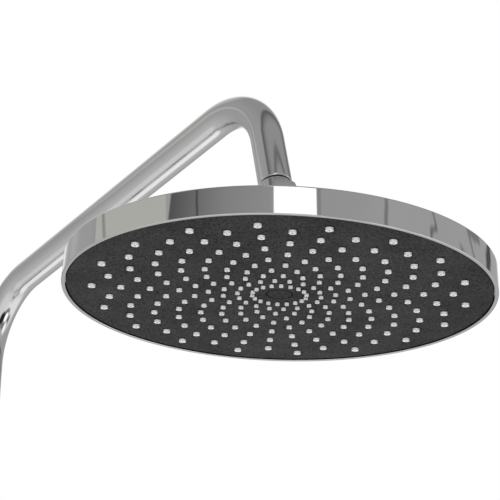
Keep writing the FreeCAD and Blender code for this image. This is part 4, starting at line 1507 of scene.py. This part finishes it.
@dataclass
class Dome:
    """Grey surroundings that polished metal alone sees."""

    middle_mm: Triple = (0.0, -385.0, 205.0)
    radius: float = 9.0
    loop_aim: Triple = (-0.1205, 0.8596, 0.4965)
    loop_edge: float = 0.44
    loop_fade: float = -0.56
    loop_raised: Pair = (33.0, 38.0)
    loop_foot: Pair = (-14.0, 4.0)
    east: Pair = (0.0, 0.3)
    east_tone: float = 150.0
    beam_aim: Triple = (-0.0066, 0.301, 0.9536)
    beam_at: Pair = (0.5855, 0.5945)
    beam_soft: float = 0.005
    beam_behind: Pair = (-0.22, -0.3)
    beam_raised: Pair = (36.0, 40.0)
    beam_tone: float = 98.0
    waves: float = 1.1

    def glows(self) -> List[Glow]:
        """Soft lights and shadows.

        Returns:
            Patches, later ones over earlier ones.
        """
        return [
            Glow(20.0, -62.0, 16.0, 20.0, 150.0, 0.8),
            Glow(-25.0, -62.0, 16.0, 18.0, 142.0, 0.8),
            Glow(95.0, -48.0, 16.0, 26.0, 222.0, 0.9),
            Glow(-100.0, -62.0, 14.0, 26.0, 205.0, 0.8),
            Glow(152.0, -50.0, 18.0, 8.0, 118.0),
            Glow(116.0, -33.0, 6.0, 7.0, 112.0),
            Glow(-172.0, -51.0, 9.0, 9.0, 30.0),
            Glow(141.0, -50.0, 6.5, 6.0, 262.0),
            Glow(130.0, -25.0, 6.0, 8.0, 245.0, 0.95),
            Glow(28.0, -45.0, 7.0, 12.0, 229.0),
            Glow(-28.0, -46.0, 7.0, 12.0, 196.0),
            Glow(2.0, -50.0, 3.0, 7.0, 166.0),
            Glow(5.0, 47.0, 9.0, 14.0, 178.0),
            Glow(34.0, 42.0, 10.0, 16.0, 228.0),
            Glow(-42.0, 31.0, 4.0, 10.0, 141.0, 0.7),
        ]

    def cards(self) -> List[Card]:
        """Flags, seams and the softbox.

        Returns:
            Cards, later ones over earlier ones.
        """
        return [
            Card((-1.0, 13.0), (-30.0, 28.0), 122.0, 7.0, level=9.0),
            Card((3.5, 9.5), (2.0, 20.0), 86.0, 3.5, level=9.0),
            Card((-83.7, -38.6), (-4.0, 34.5), 169.0, 0.8, 5.0, 1.1, 23.8),
            Card((-40.3, -38.2), (-4.0, 34.5), 133.0, 1.2, 3.0, 2.4, 28.9),
            Card((-101.3, -100.2), (0.0, 34.0), 70.0, 0.5, 0.0, 0.9, 21.9, 0.5),
            Card((-159.6, -139.2), (2.0, 34.0), 262.0, 0.5, 0.0, 0.35, 18.5),
            Card((-161.8, -159.8), (2.0, 34.0), 128.0, 0.6, 0.0, 0.3, 18.2),
            Card((163.8, 165.7), (-10.0, 40.0), 112.0, 0.9, 0.0, -0.2, 19.6, 1.0),
            Card((135.5, 137.3), (-10.0, 40.0), 98.0, 0.8, 0.0, -0.5, 22.3, 3.5),
            Card((99.0, 104.0), (-10.0, 34.0), 112.0, 2.0, 0.0, -1.4, 26.0, 11.0),
            Card((77.5, 84.0), (-10.0, 40.0), 72.0, 2.5, 0.0, -2.4, 27.8, 2.0),
        ]

    def sky(self, board: Nodes, unit: Socket, height: Socket) -> Socket:
        """Plain grey by height, with the broad dark loop overhead.

        Args:
            board: node board.
            unit: direction from the dome's middle.
            height: direction up, in degrees.

        Returns:
            Colour.
        """
        def tones(value: Socket, stops: Sequence[Pair]) -> Socket:
            """Ramp of screen greys."""
            return board.ramp(value, [(spot, shine(tone)) for spot, tone in stops])

        plain = tones(board.range(height, -90.0, 90.0), PLAIN_TONES)
        near = board.dot(unit, self.loop_aim)
        depth = board.range(near, self.loop_edge, self.loop_fade)
        raised = board.range(height, *self.loop_raised)
        loop = board.mix(raised, tones(depth, LOW_TONES), tones(depth, HIGH_TONES))
        east = board.range(board.parts(unit)[0], *self.east)
        loop = board.mix(raised, board.mix(east, loop, shine(self.east_tone)), loop)
        inside = board.math("LESS_THAN", near, self.loop_edge)
        shown = board.math("MULTIPLY", inside, board.range(height, *self.loop_foot))
        return board.mix(shown, plain, loop)

    def beam(self, board: Nodes, unit: Socket, height: Socket) -> Socket:
        """Thin dark beam that crosses overhead.

        Args:
            board: node board.
            unit: direction from the dome's middle.
            height: direction up, in degrees.

        Returns:
            1 on the beam, 0 off it.
        """
        across = board.between(board.dot(unit, self.beam_aim), self.beam_at, self.beam_soft)
        behind = board.range(board.parts(unit)[1], *self.beam_behind)
        raised = board.range(height, *self.beam_raised)
        return board.math("MULTIPLY", board.math("MULTIPLY", across, behind), raised)

    def build(self) -> None:
        """Makes the dome."""
        deselect()
        bpy.ops.mesh.primitive_uv_sphere_add(segments=64, ring_count=32, radius=self.radius,
                                             location=Vector(self.middle_mm) * MM)
        dome = bpy.context.object
        dome.name = "studio_dome"
        for ray in ("camera", "diffuse", "shadow", "transmission", "volume_scatter"):
            setattr(dome, "visible_" + ray, False)
        material, board = new_material("studio_walls")
        material.cycles.emission_sampling = "NONE"
        dome.data.materials.append(material)
        out = board.add("ShaderNodeOutputMaterial")
        glow = board.add("ShaderNodeEmission")
        board.link(glow.outputs[0], out.inputs["Surface"])
        unit_node = board.add("ShaderNodeVectorMath", operation="NORMALIZE")
        board.link(board.add("ShaderNodeTexCoord").outputs["Object"], unit_node.inputs[0])
        unit = unit_node.outputs[0]
        x, y, z = board.parts(unit)
        azimuth = board.math("MULTIPLY", board.math("ARCTAN2", x, y), 180.0 / math.pi)
        height = board.math("MULTIPLY", board.math("ARCSINE", z), 180.0 / math.pi)
        wave = board.add("ShaderNodeTexNoise", noise_dimensions="1D")
        board.link(height, wave.inputs["W"])
        wave.inputs["Scale"].default_value = self.waves
        wave.inputs["Detail"].default_value = 0.0
        colour = self.sky(board, unit, height)
        colour = board.mix(self.beam(board, unit, height), colour, shine(self.beam_tone))
        for patch in self.glows():
            colour = board.mix(patch.mask(board, unit), colour, shine(patch.tone))
        for card in self.cards():
            mask = card.mask(board, azimuth, height, wave.outputs["Fac"])
            colour = board.mix(mask, colour, shine(card.tone, card.warm))
        board.link(colour, glow.inputs["Color"])
        glow.inputs["Strength"].default_value = 1.0
        LOG.info("dome with %d glows and %d cards", len(self.glows()), len(self.cards()))


@dataclass(frozen=True)
class Lamp:
    """Soft oblong lamp; metres and watts."""

    name: str
    spot: Triple
    size: Pair
    watts: float

    def build(self, aim: Vector) -> None:
        """Hangs the lamp.

        Args:
            aim: what it points at.
        """
        data = bpy.data.lights.new(self.name, "AREA")
        data.shape = "RECTANGLE"
        data.size, data.size_y = self.size
        data.energy = self.watts
        lamp = bpy.data.objects.new(self.name, data)
        bpy.context.scene.collection.objects.link(lamp)
        lamp.location = self.spot
        lamp.rotation_mode = "QUATERNION"
        lamp.rotation_quaternion = (aim - Vector(self.spot)).to_track_quat("-Z", "Y")
        lamp.visible_glossy = False


@dataclass
class Studio:
    """Camera, light and floor."""

    camera_mm: Triple = (-546.69, -1074.51, -280.62)
    right: Triple = (0.79369, -0.60832, -0.0012)
    forward: Triple = (0.52617, 0.68552, 0.50319)
    lens: float = 130.36
    sensor: float = 36.0
    shift: Pair = (-0.0008, -0.0005)
    clip: Pair = (0.01, 60.0)
    lamp_aim: Triple = (0.0, -0.385, 0.2)
    floor_height: float = -1.9
    floor_radius: float = 7.0
    floor_tone: float = 0.86
    fade_from: float = 1.0
    fade_end: float = 0.5
    daylight: float = 0.1
    paleness: float = 0.6

    def lamps(self) -> List[Lamp]:
        """Softbox above, strip in front and lamp under the head."""
        return [Lamp("top_softbox", (-0.6, -0.9, 1.3), (0.9, 0.9), 8.0),
                Lamp("front_strip", (-1.1, -1.8, -0.36), (1.2, 0.3), 26.0),
                Lamp("low_lamp", (1.3, 1.3, -0.37), (0.5, 0.3), 85.0)]

    def camera(self) -> None:
        """Sets the camera where the photograph was taken from."""
        data = bpy.data.cameras.new("photo_camera")
        data.lens = self.lens
        data.sensor_width = self.sensor
        data.shift_x, data.shift_y = self.shift
        data.clip_start, data.clip_end = self.clip
        camera = bpy.data.objects.new("photo_camera", data)
        bpy.context.scene.collection.objects.link(camera)
        right = Vector(self.right).normalized()
        back = -Vector(self.forward).normalized()
        up = back.cross(right).normalized()
        turn = Matrix((right, up, back)).transposed().to_4x4()
        camera.matrix_world = Matrix.Translation(Vector(self.camera_mm) * MM) @ turn
        bpy.context.scene.camera = camera

    def world(self) -> None:
        """White for the eye and for metal, a plain level of light for the rest."""
        world = bpy.data.worlds.new("studio_world")
        bpy.context.scene.world = world
        world.use_nodes = True
        board = Nodes(world.node_tree)
        out = board.add("ShaderNodeOutputWorld")
        path = board.add("ShaderNodeLightPath")
        seen = board.math("MAXIMUM", path.outputs["Is Camera Ray"], path.outputs["Is Glossy Ray"])
        seen = board.math("MAXIMUM", seen, path.outputs["Is Transmission Ray"])
        light = board.add("ShaderNodeBackground")
        light.inputs["Color"].default_value = (1.0, 1.0, 1.0, 1.0)
        light.inputs["Strength"].default_value = self.daylight
        white = board.add("ShaderNodeBackground")
        white.inputs["Color"].default_value = (1.0, 1.0, 1.0, 1.0)
        board.link(board.layer(seen, light.outputs[0], white.outputs[0]), out.inputs["Surface"])

    def floor(self) -> None:
        """Pale floor that fades into the white background."""
        deselect()
        bpy.ops.mesh.primitive_circle_add(vertices=96, radius=self.floor_radius, fill_type="NGON",
                                          location=(0.0, -0.2, self.floor_height))
        floor = bpy.context.object
        floor.name = "studio_floor"
        settle(floor)
        floor.visible_glossy = False
        material, board = new_material("pale_floor")
        floor.data.materials.append(material)
        out = board.add("ShaderNodeOutputMaterial")
        matt = board.add("ShaderNodeBsdfDiffuse")
        matt.inputs["Color"].default_value = (*[self.floor_tone] * 3, 1.0)
        white = board.add("ShaderNodeEmission")
        clear = board.add("ShaderNodeBsdfTransparent")
        x, y, _ = board.parts(board.add("ShaderNodeTexCoord").outputs["Object"])
        far = board.math("ADD", board.math("POWER", x, 2.0), board.math("POWER", y, 2.0))
        seen = board.add("ShaderNodeLightPath").outputs["Is Camera Ray"]
        edge = board.range(board.math("SQRT", far), self.fade_from,
                           self.floor_radius - self.fade_end, self.paleness, 1.0, True)
        pale = board.layer(board.math("MULTIPLY", edge, seen), matt.outputs[0], white.outputs[0])
        behind = board.add("ShaderNodeNewGeometry").outputs["Backfacing"]
        board.link(board.layer(behind, pale, clear.outputs[0]), out.inputs["Surface"])

    def build(self) -> None:
        """Sets up the studio."""
        bpy.context.scene.view_settings.view_transform = "Standard"
        self.camera()
        self.world()
        self.floor()
        for lamp in self.lamps():
            lamp.build(Vector(self.lamp_aim))


def main() -> None:
    """Builds the studio, then each sub-assembly."""
    logging.basicConfig(level=logging.INFO, format="%(name)s: %(message)s")
    Studio().build()
    Dome().build()
    gooseneck = Gooseneck()
    gooseneck.build()
    Head(gooseneck.ball_centre).build()
    LowerRiser().build()
    WallBracket().build()
    paint_carried_over()
    deselect()


if __name__ == "__main__":
    main()
